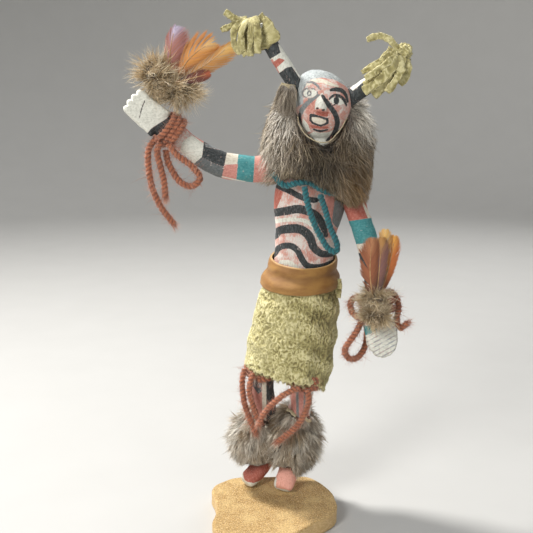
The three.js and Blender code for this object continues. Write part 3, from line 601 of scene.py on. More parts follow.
free_yarn("left_wrist_yarn_loop", RUST, "object",
          [49.6, -17, 126], [46.6, -18.6, 118.6], [42.9, -19, 112.7], [39.4, -18, 106.2],
          [41.7, -16, 100.4], [46.9, -13, 99.4], [51.4, -10, 104], [53, -8.4, 112], [53.4, -7.2, 121])
free_yarn("left_wrist_yarn_bight", RUST, "object",
          [50.4, -21.4, 130], [46.8, -20.6, 126], [43.6, -17.4, 127.6], [42.6, -12.4, 131],
          [44.6, -8, 133.6], [49.4, -4.6, 133.8], [54, -3, 133])
free_yarn("left_wrist_yarn_tail", RUST, "bare",
          [60.6, -3.2, 134.6], [65.4, -5.6, 137.4], [69, -11, 135], [69.6, -16.4, 129.8],
          [68.2, -19.6, 124.4], [70, -20.6, 119.8], [74.2, -20.6, 122.6])
free_yarn("right_knee_yarn_outer", RUST, "bare",
          [-18.6, 6.2, 86], [-20, 4.4, 80], [-19.9, 3.2, 73.5], [-18.6, 3, 64], [-15.8, 3.4, 55],
          [-12.3, 2.4, 46.4])
free_yarn("right_knee_yarn_inner", RUST, "bare",
          [-13.4, 0.8, 86], [-15, -0.8, 80.4], [-15.8, -0.6, 74], [-13.8, 0.2, 65.4], [-10.8, 0, 56.4])
free_yarn("left_knee_yarn_across", RUST, "bare",
          [14.6, -8, 79], [7.5, -8.6, 76.6], [-0.6, -7.8, 70.2], [-7.2, -6.6, 62], [-10, -5.6, 55.2])
free_yarn("left_knee_yarn_down", RUST, "bare",
          [19, -8, 78], [19.6, -9, 71.5], [16.8, -9.4, 62.6], [11.7, -8.8, 54.2], [1.4, -6.6, 44.4])


# ---- Painted wood ----
DRAWN = 0.57                      # millimetres on the doll to one pixel of the drawing
FAR = -9.0                        # a distance well outside every mark
COLOURS = {
    "white": ("e2e1d6", "c2c2b6"),
    "cream": ("ddd6c6", "c3b8a4"),
    "ash": ("b3b8b7", "767d7e"),
    "pink": ("cf9286", "b7756a"),
    "red": ("a85a4b", "c07d6f"),
    # blush is the left foot's pink, made lighter with painted light for the light on its front.
    "blush": ("f0b3a2", "dc9a8a"),
    "grey": ("858989", "636868"),
    "slate": ("6a6e6e", "505556"),
    "teal": ("3a8286", "5b9b9b"),
    "black": ("2b2e2f", "505556"),
}


class Paint:
    """Painted marks as distances in millimetres, above 0 inside a mark. A later mark covers earlier ones."""

    def __init__(self, points):
        self.at = drawing(points)
        self.fields = {c: np.full(len(points), FAR) for c in COLOURS}

    def lay(self, colour, inside, where=None):
        """Paint where inside is above 0, and where is too."""
        if where is not None:
            inside = np.minimum(inside, where)
        for c, field in self.fields.items():
            self.fields[c] = np.maximum(field, inside) if c == colour else np.minimum(field, -inside)

    def stroke(self, colour, line, widths, where):
        """A brush stroke along a line on the drawing, with its width at its points."""
        line = np.asarray(line, float)
        widths = np.broadcast_to(np.asarray(widths, float), len(line))
        ts = np.linspace(0, 1, 10 * (len(line) - 1) + 1)
        path = through(line, ts)
        half = np.interp(ts, np.linspace(0, 1, len(line)), widths) / 2
        best = np.full(len(self.at), FAR)
        for i in range(len(path) - 1):
            a, d = path[i], path[i + 1] - path[i]
            t = np.clip(((self.at - a) @ d) / max(d @ d, 1e-9), 0, 1)
            near = np.linalg.norm(self.at - a - t[:, None] * d, axis=1)
            best = np.maximum(best, half[i] + t * (half[i + 1] - half[i]) - near)
        self.lay(colour, best * DRAWN, where)

    def patch(self, colour, outline, where=None):
        """A filled patch with corners on the drawing."""
        self.lay(colour, inside(self.at, outline) * DRAWN, where)

    def oval(self, colour, centre, half, where):
        away = (self.at - np.array(centre)) / np.array(half)
        self.lay(colour, (1 - np.linalg.norm(away, axis=1)) * min(half) * DRAWN, where)

    def between(self, left, right):
        """Distance inside two upright lines of the drawing."""
        return np.minimum(self.at[:, 0] - left, right - self.at[:, 0]) * DRAWN

    def marks(self, where, *rows):
        """Marks in the order of painting: a colour and corners; or a line and its widths for a stroke;
        or a centre, as a tuple, and half sizes for an oval."""
        for colour, shape, *size in rows:
            if not size:
                self.patch(colour, shape, where)
            elif isinstance(shape, tuple):
                self.oval(colour, shape, *size, where)
            else:
                self.stroke(colour, shape, *size, where)

    def keep(self, obj):
        for colour, field in self.fields.items():
            set_field(obj, "paint_" + colour, field)


def painted_wood(name, brush, redness):
    """Brushed matt paint on carved wood. Colours come from the paint fields, with ragged brush edges."""
    s = Shade(name, 0.82)
    strokes = s.noise(1.5, 4, 0.62, stretch=brush)
    broad = s.noise(0.17, 3, 0.5)
    fine = s.noise(4.5, 3, 0.6)
    grain = s.noise(2.2, 4, 0.65, stretch=tuple(v * 0.8 for v in brush))
    edge = s.math("ADD", s.math("MULTIPLY", s.noise(1.6, 3, 0.6), 0.9), -0.45)
    chalk = s.over("e6e1da", (fine, 0.35, 0.7, "c4bdb5"))
    rose = s.over("b26455", (strokes, 0.35, 0.65, "d3a294"))
    cover = s.math("ADD", s.math("MULTIPLY", strokes, 0.62), s.math("MULTIPLY", broad, 0.5))
    low = 0.66 - 0.2 * redness
    colour = s.over(chalk, (cover, low - 0.07, low + 0.09, 0.08, 1.0, rose))
    rubbed = s.math("MULTIPLY", s.between(s.noise(0.9, 5, 0.7, stretch=brush), 0.6, 0.7), 0.75)
    for tint, (main, other) in COLOURS.items():
        field = s.math("ADD", s.field("paint_" + tint), edge)
        mask = s.between(field, -0.13, 0.13)
        if tint not in ("white", "cream", "ash"):
            mask = s.math("MULTIPLY", mask, s.math("SUBTRACT", 1.0, rubbed))
        colour = s.mix(mask, colour, s.over(main, (strokes, 0.38, 0.72, other)))
    s.set(Base_Color=s.over(colour, (grain, 0.62, 0.8, 0, 0.22, "6b5d55")))
    s.set(Normal=s.bump(fine, 0.12, 0.6, s.bump(grain, 0.28, 0.7)))
    return s.material


SKIN = painted_wood("painted_wood", (1, 1, 0.32), 0.55)
ARM_SKIN = painted_wood("painted_wood_arms", (0.45, 1, 0.8), 0.5)
HEAD_SKIN = painted_wood("painted_wood_head", (0.6, 1, 0.45), 0.75)


def section(stations, hint, sides=44, rows=80, power=2.0):
    """One closed carved form through stations."""
    return closed_tube(limb(stations, hint, sides, rows, power))


# ---- Carved figure ----
# A station is [x, y, z, half width, half depth]; a mark of paint is in the drawing's pixels.
FIGURE_VOXEL, ARM_VOXEL = 0.84, 0.68
LEG, CHIN = 7.3, 229
TORSO = [
    [10.5, 14.5, 99, 12, 9], [12.5, 14.2, 110, 17.85, 13], [15.2, 12.6, 132, 18.4, 12.6],
    [16.8, 10.5, 154, 17.6, 11.85], [17.5, 8.5, 168, 17.6, 11.5], [19.4, 4.6, 187, 20.6, 13],
    [21.4, 0.8, 202, 19.8, 11.7], [22.6, -1.5, 211, 12.4, 8.8], [23.6, -3, 219, 7, 7],
    [25, -5.5, 232, 7, 7]]
NOSE = [[25.1, -20.4, 249.5, 1.1, 1.2], [24.3, -22.4, 245.5, 2, 2], [23.2, -23.2, 241.8, 3.3, 2.9],
        [22.9, -22.4, 240.2, 2.9, 2]]
RIGHT_LEG = [
    [4.5, 15, 110, LEG * 1.15, LEG * 1.2], [-5, 12.5, 92, LEG * 1.03, LEG * 1.08],
    [-8.2, 10.6, 76, LEG, LEG], [-6.2, 16.5, 56, LEG * 0.95, LEG],
    [-5.6, 25, 36, LEG * 0.85, LEG * 0.9], [-5.9, 31, 20, LEG * 0.8, LEG * 0.8]]
LEFT_LEG = [
    [20, 14, 110, LEG * 1.15, LEG * 1.2], [18.2, 8, 93, LEG * 1.05, LEG * 1.08],
    [16.6, 5, 78, LEG, LEG], [14.9, 10.5, 57, LEG * 0.95, LEG],
    [12.6, 18, 38, LEG * 0.85, LEG * 0.9], [10.4, 24, 22, LEG * 0.8, LEG * 0.8]]
RIGHT_FOOT = [
    [-2.8, 34.4, 20, 5.12, 4.14], [-6.6, 31.6, 14, 6.4, 5.29], [-11.6, 27.6, 8.4, 6.6, 4.83],
    [-17, 23.2, 4.4, 6.4, 4.14], [-19.2, 21.6, 3.3, 5.25, 2.85]]
LEFT_FOOT = [
    [12.6, 28.4, 24, 5.12, 4.14], [10.8, 24.4, 16, 6.08, 5.29], [7.8, 19.2, 9.2, 6.4, 5.06],
    [5.3, 14.6, 4.2, 6.4, 4.14], [4.6, 12.9, 3, 5.44, 2.76]]


def head_form():
    """The head: a ball drawn long, wider above and leaning to one side."""
    down, around = np.linspace(0, np.pi, 70)[:, None], turns(100)[None]
    x, y = np.sin(down) * np.cos(around), np.sin(down) * np.sin(around)
    z = np.cos(down) + 0 * around
    swell = 1 + 0.13 * z
    lean = np.where(z > 0, -4.2, -2.0) * z * z
    rings = np.stack([25.8 + lean + x * swell * 15.2, -7 + 1.2 * z * z + y * swell * 16,
                      243 + z * 19], axis=-1)
    return closed_tube(rings[1:-1])


def standing(parts):
    """Figure parts, set on the base's top."""
    return [(p + STAND, f) for p, f in parts]


figure = remeshed("figure_carving", standing([
    section(TORSO, X, 60, 150, 2.15), head_form(), section(NOSE, X, 20, 24),
    section(RIGHT_LEG, X), section(LEFT_LEG, X),
    section(RIGHT_FOOT, [0.64, -0.77, 0], power=2.3), section(LEFT_FOOT, X, power=2.3)]), FIGURE_VOXEL)
p, n = points_of(figure), normals_of(figure)
p[:, 2] = np.maximum(p[:, 2], STAND[2])
p += n * (0.18 * wobble(p, 9, 3) * (p[:, 2] > 11))[:, None]
reshape(figure, p)
figure.data.materials.append(SKIN)
figure.data.materials.append(HEAD_SKIN)

paint = Paint(p)
head_here = p[:, 2] - CHIN - 0.3 * np.abs(p[:, 0] - 25)
front = np.minimum(head_here, -(p[:, 1] + 9) * 0.8)
body_here = np.minimum(228 - p[:, 2], p[:, 2] - 130)
# Head: a grey-white cap, then the mask's marks.
paint.patch("ash", [(290, 60), (360, 60), (360, 88), (351, 91), (344, 85), (334, 79.4), (321, 77.6),
                    (311, 79.5), (305.5, 86), (303.4, 94), (303.2, 104), (285, 112)], head_here)
paint.marks(
    front,
    ("white", [(309, 134), (314, 131.6), (320, 133), (329, 132), (338, 127), (345, 130), (330, 146),
     (312, 146)]),
    ("white", [(302.6, 118), (308, 124), (310.5, 131), (306, 133), (302, 126)]),
    ("white", [(318.6, 95), (322.6, 92.4), (324, 97), (327.6, 104.6), (326, 111), (321, 108.6),
     (314.6, 110), (315.4, 102)]),
    ("cream", [(307, 85), (314, 81), (322, 81), (330, 83.8), (338, 86.4)], [2.4, 4.4, 4.2, 3.4, 2]),
    ("grey", [(319.5, 94.6), (313.6, 98.6), (306.8, 103.8), (301.9, 109.9), (300, 117)], [1.6, 3.4, 4.8,
     4.8, 4]),
    ("black", [(299.8, 114), (300.2, 123.7), (302.4, 129.8), (306.4, 134.6)], [3, 3.4, 3, 1.5]),
    ("black", [(322.6, 96), (328.8, 105.2), (334.9, 113.6), (337.4, 122), (335.6, 130), (331, 137.4),
     (327, 140.4)], [3.2, 4.8, 5.2, 5, 4.6, 4, 2.6]),
    ("grey", [(307, 82.6), (312, 82.2), (316.6, 85), (320.4, 89.5)], [1.4, 2.4, 2.6, 1.6]),
    ("grey", (309.6, 93), (8.2, 5.7)),
    ("white", (310, 93.2), (6.8, 4.4)),
    ("grey", (309.3, 93.3), (2.5, 2.9)),
    ("white", (309.4, 93.4), (1.0, 1.3)),
    ("white", [(329.4, 99.6), (333, 96.2), (339, 96.6), (343.4, 100), (345, 103.6), (339, 105.4),
     (332.6, 104.4)]),
    ("black", (336.4, 100.6), (2.8, 3.7)),
    ("black", [(329, 99.4), (333.4, 95.6), (339.4, 96), (344, 99.8), (346.4, 105.4)], [1.6, 2.8, 3.2, 3,
     2]),
    ("black", [(330.6, 103), (335, 105.6), (340.5, 105.8)], [0.8, 1.1, 0.9]),
    ("black", [(331, 90), (336.4, 89.4), (341.6, 90.6), (345.6, 94.6), (347.8, 102)], [3, 4.4, 4.2, 3.4,
     2]),
    ("red", [(316.5, 111.2), (328.6, 111.8), (327.8, 117.2), (316, 115)]),
    ("red", [(309.6, 125), (329, 126.6), (327, 129), (312, 128.2)]),
    ("black", [(309.4, 114), (312, 113.6), (328.6, 118.2), (328.8, 123.6), (321, 127), (312.6, 124),
     (309.2, 120.8)]),
    ("cream", [(311.7, 116.8), (318, 117.4), (326.3, 120.2), (325.8, 122.9), (320.4, 124.9), (313.4, 122.2),
     (311.6, 120)]),
    ("black", [(313.4, 129.2), (319.6, 131), (327.6, 129.8)], [1.6, 2.5, 1.8]),
    ("black", (317.4, 108.4), (1.5, 1.2)),
    ("black", (323.2, 110), (1.7, 1.2)))
# Body: stripes that wave round the chest and waist, on rose over white.
paint.marks(
    body_here,
    ("red", [(266, 186), (284, 188), (282, 196), (276, 210), (266, 212)]),
    ("pink", [(325, 190), (336, 192), (333, 215), (331, 232), (326, 232)]),
    ("grey", [(335, 196), (350, 190), (348, 222), (337, 228), (332, 222)]),
    ("pink", [(331, 226), (337, 228), (350, 222), (346, 240), (333, 240), (328, 234)]),
    ("white", [(270, 222), (290, 219.6), (306, 221.4), (316, 230), (319, 240)], [4, 4, 4, 4, 3]),
    ("white", [(281, 262), (290, 263), (297, 268)], [4, 5, 3]),
    ("black", [(270, 182), (278.4, 185.9), (290, 191.3), (302.5, 197.5), (314, 200.2), (319.5, 199.3)], [5,
     6, 6, 6, 5.6, 3]),
    ("black", [(262, 214), (274.4, 212.7), (286.4, 210.9), (298, 209.1), (311.4, 212.7), (318.6, 218),
     (323, 226), (325.7, 235)], [7, 8, 8.5, 8.5, 8.5, 8, 7, 5]),
    ("black", [(264, 241), (275.7, 235.9), (279, 231), (289, 228.8), (301, 229.6), (309.6, 236.8),
     (314, 247.5), (322, 253.8), (331, 253.8), (344, 250)], [6, 6, 8, 9, 9, 9, 8, 7, 6, 5]),
    ("black", [(264, 262), (274, 254.6), (279.4, 247.6), (290, 245.7), (297, 250), (302.5, 260),
     (307.9, 266), (320.4, 267), (332.9, 262.7), (345, 258)], [5, 5.4, 6, 6.3, 6.3, 6.3, 6.3, 6.3, 6, 5]))
# Legs and feet.
legs_here = 100 - p[:, 2]
above_feet = p[:, 2] - 34
shin = np.minimum(np.minimum(legs_here, 4.6 - p[:, 0]), above_feet)
left_shin = np.minimum(np.minimum(legs_here, p[:, 0] - 4.6), above_feet)
paint.lay("pink", paint.between(-np.inf, 262), shin)
paint.marks(
    shin,
    ("slate", [(244, 360), (264, 360), (264, 390), (258, 394), (253, 386), (244, 386)]),
    ("white", [(251, 368), (254.4, 376), (255, 386)], [2.4, 2.2, 1]),
    ("ash", [(257, 366), (259, 378), (260.4, 390)], [2.6, 2, 1]),
    ("black", [(254, 372), (257, 380), (257.6, 388)], [1.6, 1.6, 1]))
paint.lay("cream", paint.between(262, 267), shin)
paint.lay("black", paint.between(266.4, np.inf), shin)
paint.lay("white", paint.between(309.6, np.inf), left_shin)
paint.lay("pink", paint.between(291, 306.8), left_shin)
paint.marks(
    left_shin,
    ("grey", [(297, 386), (297.4, 402), (298, 424)], 2.6),
    ("grey", [(305, 384), (304.6, 402), (303, 424)], 2))
feet = 34 - p[:, 2]
right_foot = 2.5 - p[:, 0] + 0.25 * (p[:, 1] - 28)
left_foot = p[:, 0] - 2.5 - 0.25 * (p[:, 1] - 28)
sole_top = np.where(p[:, 0] > 2.5, 13.0, 15.2 - 0.1 * (p[:, 0] + 18))
sole = np.minimum(feet, sole_top - p[:, 2] + 0.4 * wobble(p, 7, 5))
paint.lay("red", np.minimum(feet, right_foot))
# The left foot's lighter pink is partly its own paint and partly painted light on its front.
paint.lay("blush", np.minimum(feet, left_foot))
paint.lay("white", sole)
paint.lay("white", np.minimum(np.minimum(feet, right_foot), -19.4 - p[:, 0] + 0.5 * (15 - p[:, 2])))
paint.lay("white", np.minimum(np.minimum(feet, left_foot), 0.9 - p[:, 0] + 0.25 * wobble(p, 5, 8)))
paint.keep(figure)
centres = np.empty(len(figure.data.polygons) * 3, dtype=np.float32)
figure.data.polygons.foreach_get("center", centres)
figure.data.polygons.foreach_set(
    "material_index", (centres[2::3] > CHIN * MM).astype(np.int32))
dress(figure, "figure", slot="painted_wood")


# ---- Arms and hands ----
ARM, LOWERED, WRIST = 7.4, 6.4, 6.6
HAND_LENGTH, HAND_THICKNESS, FINGERS = 22.5, 9.0, 4


def hand_axes(axis, across):
    """Directions along, across and through a hand."""
    u = unit(np.array(axis, float))
    v = np.array(across, float)
    v = unit(v - u * v.dot(u))
    return np.stack([u, v, np.cross(u, v)])


def hand_form(width, roundness, scalloped):
    """Outline of a flat hand, rounded or scalloped, as a closed slab in its own axes."""
    tip = width * 0.46
    finger = 2 * tip / FINGERS
    knuckle = HAND_LENGTH * (1 - roundness * FINGERS / 2) - finger * 0.7
    line = [(0, -width / 2), (knuckle, -tip)]
    for i in range(FINGERS):
        low = -tip + i * finger
        reach = HAND_LENGTH * (1 - roundness * abs(i - (FINGERS - 1) / 2))
        for a in np.linspace(-1, 1, 9) if scalloped else [0]:
            line.append((reach - finger * 0.5 * (1 - math.cos(a * 1.35)), low + finger * (0.5 + 0.47 * a)))
        if scalloped and i < FINGERS - 1:
            line.append((reach - finger * 0.62, low + finger))
    line += [(knuckle, tip), (0, width / 2)]
    outline = np.array(line) if scalloped else np.vstack([line[0], even(line[1:-1], 40), line[-1]])
    middle = outline.mean(axis=0)
    rings = []
    for height, shrink in ((-1, 0.86), (-0.8, 0.95), (-0.3, 1.0), (0.3, 1.0), (0.8, 0.95), (1, 0.86)):
        flat = middle + (outline - middle) * shrink
        rings.append(np.column_stack([flat, np.full(len(flat), height * HAND_THICKNESS / 2)]))
    rings = np.array(rings)
    count = len(outline)
    faces = [grid_faces(len(rings), count), np.arange(count)[None, ::-1],
             (np.arange(count) + (len(rings) - 1) * count)[None]]
    return rings.reshape(-1, 3), faces


def carve_arm(name, stations, hint, palm, axis, across, width, roundness, scalloped):
    """An arm and its hand as one skin, with grooves between the fingers; also how far along the hand."""
    axes = hand_axes(axis, across)
    slab, faces = hand_form(width, roundness, scalloped)
    obj = remeshed(name, standing([section(stations, hint, 44, 90, 2.1),
                                   (slab @ axes + np.array(palm), faces)]), ARM_VOXEL)
    p, n = points_of(obj), normals_of(obj)
    u, v, _ = ((p - STAND - np.array(palm)) @ axes.T).T
    groove = np.zeros(len(p))
    for i in range(1, FINGERS):
        line = width * 0.46 * (2 * i / FINGERS - 1) + (0 if scalloped else 0.14 * (u - 18) * (2 - i) - 2)
        groove = np.maximum(groove, np.exp(-((v - line) / 0.5) ** 2))
    groove *= 1 / (1 + np.exp(-(u - HAND_LENGTH * (0.72 if scalloped else 0.6)) * 1.2))
    groove *= 1.0 if not scalloped else 0.7
    p -= n * (groove * 0.7)[:, None]
    p += n * (0.16 * wobble(p, 7, 6))[:, None]
    reshape(obj, p)
    obj.data.materials.append(ARM_SKIN)
    return obj, p, u


RIGHT_ARM = [
    [9, 1, 206, ARM, ARM * 0.95], [-3, 0.2, 207.6, ARM * 1.03, ARM * 0.95],
    [-14, -1, 207.6, ARM, ARM * 0.92], [-30, -2.5, 210, ARM, ARM * 0.92],
    [-39.5, -3.6, 214.6, ARM * 0.96, ARM * 0.9], [-48.5, -5.2, 221.2, ARM * 0.82, ARM * 0.84],
    [-59.2, -8.2, 229.6, WRIST, WRIST * 0.9], [-65.5, -10.2, 235, WRIST * 0.95, HAND_THICKNESS * 0.46]]
LEFT_ARM = [
    [33, 2.5, 208, LOWERED, LOWERED], [40.5, 1.4, 199, LOWERED * 1.08, LOWERED],
    [46.5, 0, 183, LOWERED, LOWERED * 0.95], [51.8, -2, 168, LOWERED, LOWERED * 0.95],
    [55, -4.6, 155, LOWERED * 0.96, LOWERED * 0.94], [56.8, -9, 142, LOWERED * 0.9, LOWERED * 0.88],
    [58, -13.4, 131, WRIST * 0.88, WRIST * 0.84], [58.8, -16.4, 124, WRIST * 0.95, HAND_THICKNESS * 0.46]]

right_arm, p, u = carve_arm("right_arm_carving", RIGHT_ARM, Z, [-63.2, -9.6, 232.4],
                            [-0.73, -0.17, 0.66], Z, 17, 0.03, True)
paint = Paint(p)
paint.marks(
    None,
    ("teal", [(237, 140), (262, 140), (256, 160), (253, 200), (232, 200), (235, 170)]),
    ("pink", [(256, 140), (300, 140), (300, 200), (252, 200), (254, 170)]),
    ("cream", [(225, 140), (240, 140), (237, 166), (223, 164)]),
    ("pink", [(224, 165), (238, 164), (234, 200), (218, 200)]),
    ("white", [(183, 141), (190, 136), (198, 137), (208, 146), (204, 158), (198, 168), (188, 160),
     (180, 151)]),
    ("pink", [(180, 122), (190, 130), (203, 140.6)], [6, 5, 4]),
    ("black", [(204, 140), (216, 138), (229, 142), (224, 167), (213, 164), (202, 158)]),
    # Painted highlight: a grey line along the upper edge of the black elbow band.
    ("grey", [(205, 143.6), (214, 144.6), (227, 149), (226, 151), (206, 147)]),
    # Painted sheen: the black band's lower, downward-facing plane is painted dark slate grey.
    ("slate", [(202, 157), (213, 163), (224, 167), (219, 190), (192, 180), (194, 164)]),
    # Painted highlight: a thin white line along the arm's lower edge.
    ("white", [(222, 176.6), (238, 180.4), (254, 184)], [1, 1.4, 1.4]),
    ("white", [(90, 40), (176, 40), (176, 116), (149, 134), (90, 134)]),
    ("black", [(147, 133.5), (152, 128), (166, 119), (173, 112), (181, 119), (176, 126), (152, 142)]))
paint.stroke("black", [(145, 100), (141.6, 109), (139.4, 118)], [0.9, 1.2, 0.8], 12 - np.abs(u - 16))
paint.keep(right_arm)
dress(right_arm, "right_arm", slot="painted_wood")

left_arm, p, u = carve_arm("left_arm_carving", LEFT_ARM, X, [59.1, -16.3, 122.8], [0.1, -0.28, -0.95],
                           X, 19, 0.15, False)
paint = Paint(p)
paint.marks(
    None,
    ("red", [(330, 180), (400, 180), (400, 222), (330, 222)]),
    ("cream", [(363, 203), (367, 212), (371, 221)], [2, 3.4, 3]),
    ("teal", [(340, 221.6), (350, 221), (373, 217.6), (400, 216), (400, 241), (376, 242), (355, 244.4),
     (340, 246)]),
    ("cream", [(340, 246), (376, 242.6), (378, 248), (354, 254), (340, 256)]),
    ("black", [(345, 258), (362, 252), (400, 248), (400, 284), (345, 284)]))
paint.lay("white", u - 1.5)
# Painted shade: fine grey lines that fan across the hand stand for the shade in its grooves.
groove_shade_lines = (np.sin((drawing(p) @ [0.5, 0.9]) * 1.5) - 0.72) * 0.5 - 0.16 * wobble(p, 6, 12)
paint.lay("ash", np.minimum(u - 1.5, groove_shade_lines))
paint.patch("teal", [(358, 325), (377, 326), (377.6, 329.6), (369, 334.4), (358, 336)])
paint.keep(left_arm)
dress(left_arm, "left_arm", slot="painted_wood")


# ---- Horns ----
def horn(name, root, tip, node, marks):
    """A tapering horn with painted bands."""
    stations = [[*root, 4.6, 4.6], [*tip, 4.1, 4.1]]
    ring = limb(stations, Y, 48, 90)
    ring[-1] = ring[-1] * 0.86 + ring[-1].mean(axis=0) * 0.14
    points, faces = closed_tube(ring + STAND)
    obj = mesh_object(name, points, faces, SKIN)
    p = points + normals_of(obj) * (0.12 * wobble(points, 6, 9))[:, None]
    reshape(obj, p)
    paint = Paint(p)
    paint.lay("white", np.full(len(p), 5.0))
    for colour, outline in marks:
        paint.patch(colour, outline)
    paint.keep(obj)
    return dress(obj, node, slot="painted_wood")


horn("right_horn_carving", [16.6, -8, 244.6], [-9.8, -8, 285], "right_horn", [
    ("black", [(255, 30), (290, 40), (280.6, 52.6), (267.6, 60.6), (250, 60)]),
    ("pink", [(266, 62), (272.6, 59), (281, 76), (274, 80)]),
    ("red", [(268, 66), (279, 58), (285, 60), (274, 70)]),
    ("black", [(275.6, 76), (286, 68), (293, 66), (312, 90), (300, 100), (280, 92)]),
    # A white strip along the horn's upper side: white paint and, over the black bands, a painted highlight.
    ("white", [(278, 44), (283, 46), (294, 62), (302, 75), (310, 88), (301.6, 81), (291.4, 66), (280, 51)])])
horn("left_horn_carving", [35, -8, 243.5], [66.8, -8, 265], "left_horn", [
    ("black", [(340, 70), (371, 70), (372, 104), (350, 116), (340, 110)]),
    ("red", [(373, 94), (379, 90), (381, 97), (372, 102)]),
    ("black", [(384, 70), (398, 70), (398, 92), (384, 96)]),
    # A white strip along the horn's upper side: white paint and, over the black band, a painted highlight.
    ("white", [(350, 88), (362, 78), (376, 66), (377, 70.4), (365, 80.4), (353, 90.8)])])


# ---- Base ----
BASE_RADIUS, BASE_COLUMNS = 39.5, 200
LOBES = [
    (0, 0.97), (17, 0.99), (32, 1.01), (46, 1.05), (58, 1.07), (74, 0.98), (92, 0.92), (108, 0.97),
    (122, 1.07), (134, 1.13), (147, 1.16), (157, 1.12), (168, 0.99), (186, 0.92), (198, 0.97),
    (209, 1.09), (221, 1.18), (234, 1.12), (250, 1.0), (268, 0.95), (286, 0.92), (300, 0.86),
    (314, 0.82), (329, 0.87), (345, 0.95)]


def base_material():
    """Turned tan earth colour with sand stuck on its top; a smooth pale edge."""
    s = Shade("sanded_base", 0.85)
    sand = s.field("sand")
    grit = s.cells(1.15)
    speck = s.noise(1.3, 5, 0.75)
    broad = s.noise(0.09, 3)
    top = s.over("8a6a3b", (speck, 0.4, 0.6, "cdab72"))
    top = s.mix(s.between(grit, 0.0, 0.4), "ecd9b2", top)
    top = s.over(top, (s.noise(1.1, 3, 0.6), 0.56, 0.66, 0, 0.75, "755630"),
                 (broad, 0.4, 0.7, 0, 0.3, "e4c88f"))
    side = s.over("c2a06c", (s.noise(0.5, 4, 0.6, stretch=(1, 1, 3)), 0.35, 0.7, "d9bd8d"))
    reach = s.math("ADD", sand, s.math("MULTIPLY", s.noise(0.9, 3), 0.5))
    s.set(Base_Color=s.over(side, (reach, 0.6, 0.85, top)))
    height = s.math("ADD", s.math("MULTIPLY", s.math("MULTIPLY", speck, sand), 1.0),
                    s.math("MULTIPLY", s.noise(0.8, 3), 0.3))
    s.set(Normal=s.bump(height, 0.6, 0.8))
    return s.material


def base_form():
    """The lobed slab with a rounded top edge, and how sanded each of its points is."""
    degrees, size = np.array(LOBES + [LOBES[0]]).T
    angle = np.radians(degrees)
    rim = BASE_RADIUS * size[:, None] * np.stack([np.cos(angle), np.sin(angle), 0 * angle], axis=1)
    loop = np.vstack([rim[-3:-1], rim, rim[1:3]])
    around = through(loop, np.linspace(2 / (len(loop) - 1), (len(loop) - 3) / (len(loop) - 1),
                                     BASE_COLUMNS + 1))[:-1]
    size = np.linalg.norm(around[:, :2], axis=1)[:, None]
    way = around[:, :2] / size
    rings, sand = [], []

    def ring(inset, z, share, grit=0.0):
        flat = way * (size - inset) * share
        rings.append(np.column_stack([flat, np.full(len(flat), z)]))
        sand.append(np.full(len(flat), grit))
    for share in np.linspace(0.02, 1, 12)[:-1]:
        ring(1.2, 0, share)
    for a in np.linspace(0, np.pi / 2, 5):
        ring(1.2 * (1 - math.sin(a)), 1.2 * (1 - math.cos(a)), 1)
    for z in np.linspace(1.2, 8.2, 16)[1:-1]:
        ring(0.05 * math.sin(z * 2.2), z, 1)
    for a in np.linspace(0, np.pi / 2, 7):
        ring(1.8 * (1 - math.cos(a)), 8.2 + 1.8 * math.sin(a), 1, 0.15 + 0.7 * math.sin(a))
    for share in np.linspace(1, 0.02, 40)[1:]:
        ring(1.8, 10, share, 1)
    rings = np.array(rings)
    points, faces = closed_tube(rings)
    grit = np.concatenate([np.concatenate(sand), [0, 1]])
    side = (grit < 0.9) & (points[:, 2] > 1)
    points[:, 2] -= np.where(grit >= 0.9, 0.12 * (1 + wobble(points, 5, 21)), 0)
    points[:, :2] *= (1 + np.where(side, 0.004 * wobble(points, 12, 22), 0))[:, None]
    return points, faces, grit


points, faces, grit = base_form()
dress(mesh_object("base_slab", points, faces, base_material(), {"sand": grit}), "base",
      slot="sanded_base")


# ---- Floor and backdrop: a plain pale bowl ----
FLOOR_SIDES = 96


def studio():
    profile = [(0.001, 0), (0.4, 0), (0.9, 0), (1.3, 0)]
    profile += [(1.3 + 0.5 * math.sin(a), 0.5 * (1 - math.cos(a))) for a in np.linspace(0.15, 1.45, 9)]
    profile += [(1.84, 0.9), (1.86, 1.5)]
    angle = turns(FLOOR_SIDES)
    rings = np.array([np.column_stack([r * np.cos(angle), r * np.sin(angle), np.full(FLOOR_SIDES, z)])
                      for r, z in np.array(profile) / MM])
    s = Shade("floor", 0.7)
    s.set(Base_Color=s.mix(s.noise(0.02, 2), "b3b2af", "b8b7b4"))
    mesh_object("floor", rings.reshape(-1, 3), grid_faces(len(rings), FLOOR_SIDES), s.material)


studio()


# ---- Belt and kilt ----
BELT_HEIGHT, BELT_COLUMNS = 17, 150


def belt_at(drop):
    """The belt's middle, half sizes and tilt at this drop below its top."""
    flare = 3.9 * drop / BELT_HEIGHT
    return (np.array([16.6 - 0.14 * drop, 10.6 + 0.1 * drop, 154.5 - drop]), 18.4 + flare,
            13.22 + 0.8 * flare, 0.3 * (1 - 0.4 * drop / BELT_HEIGHT))


def band_form(place, walls, columns):
    """A closed band from a loop of wall points; place(angles, wall point) gives one ring."""
    rings = np.array([place(turns(columns), *wall) for wall in walls])
    return rings.reshape(-1, 3), ring_faces(len(rings), columns)


def belt_place(angle, drop, wall):
    """One ring of the belt, with wall as how far it stands off the body."""
    middle, across, deep, tilt = belt_at(drop)
    right, back = np.cos(angle), np.sin(angle)
    slack = 0.35 * np.sin(3 * angle + 1) + 0.2 * np.sin(7 * angle)
    wall = wall + slack * (0.3 + 0.7 * drop / BELT_HEIGHT)
    return np.stack([middle[0] + right * (across + wall), middle[1] + back * (deep + wall),
                     middle[2] + tilt * back * (deep + wall) + 0.25 * np.sin(2 * angle)], axis=1) + STAND


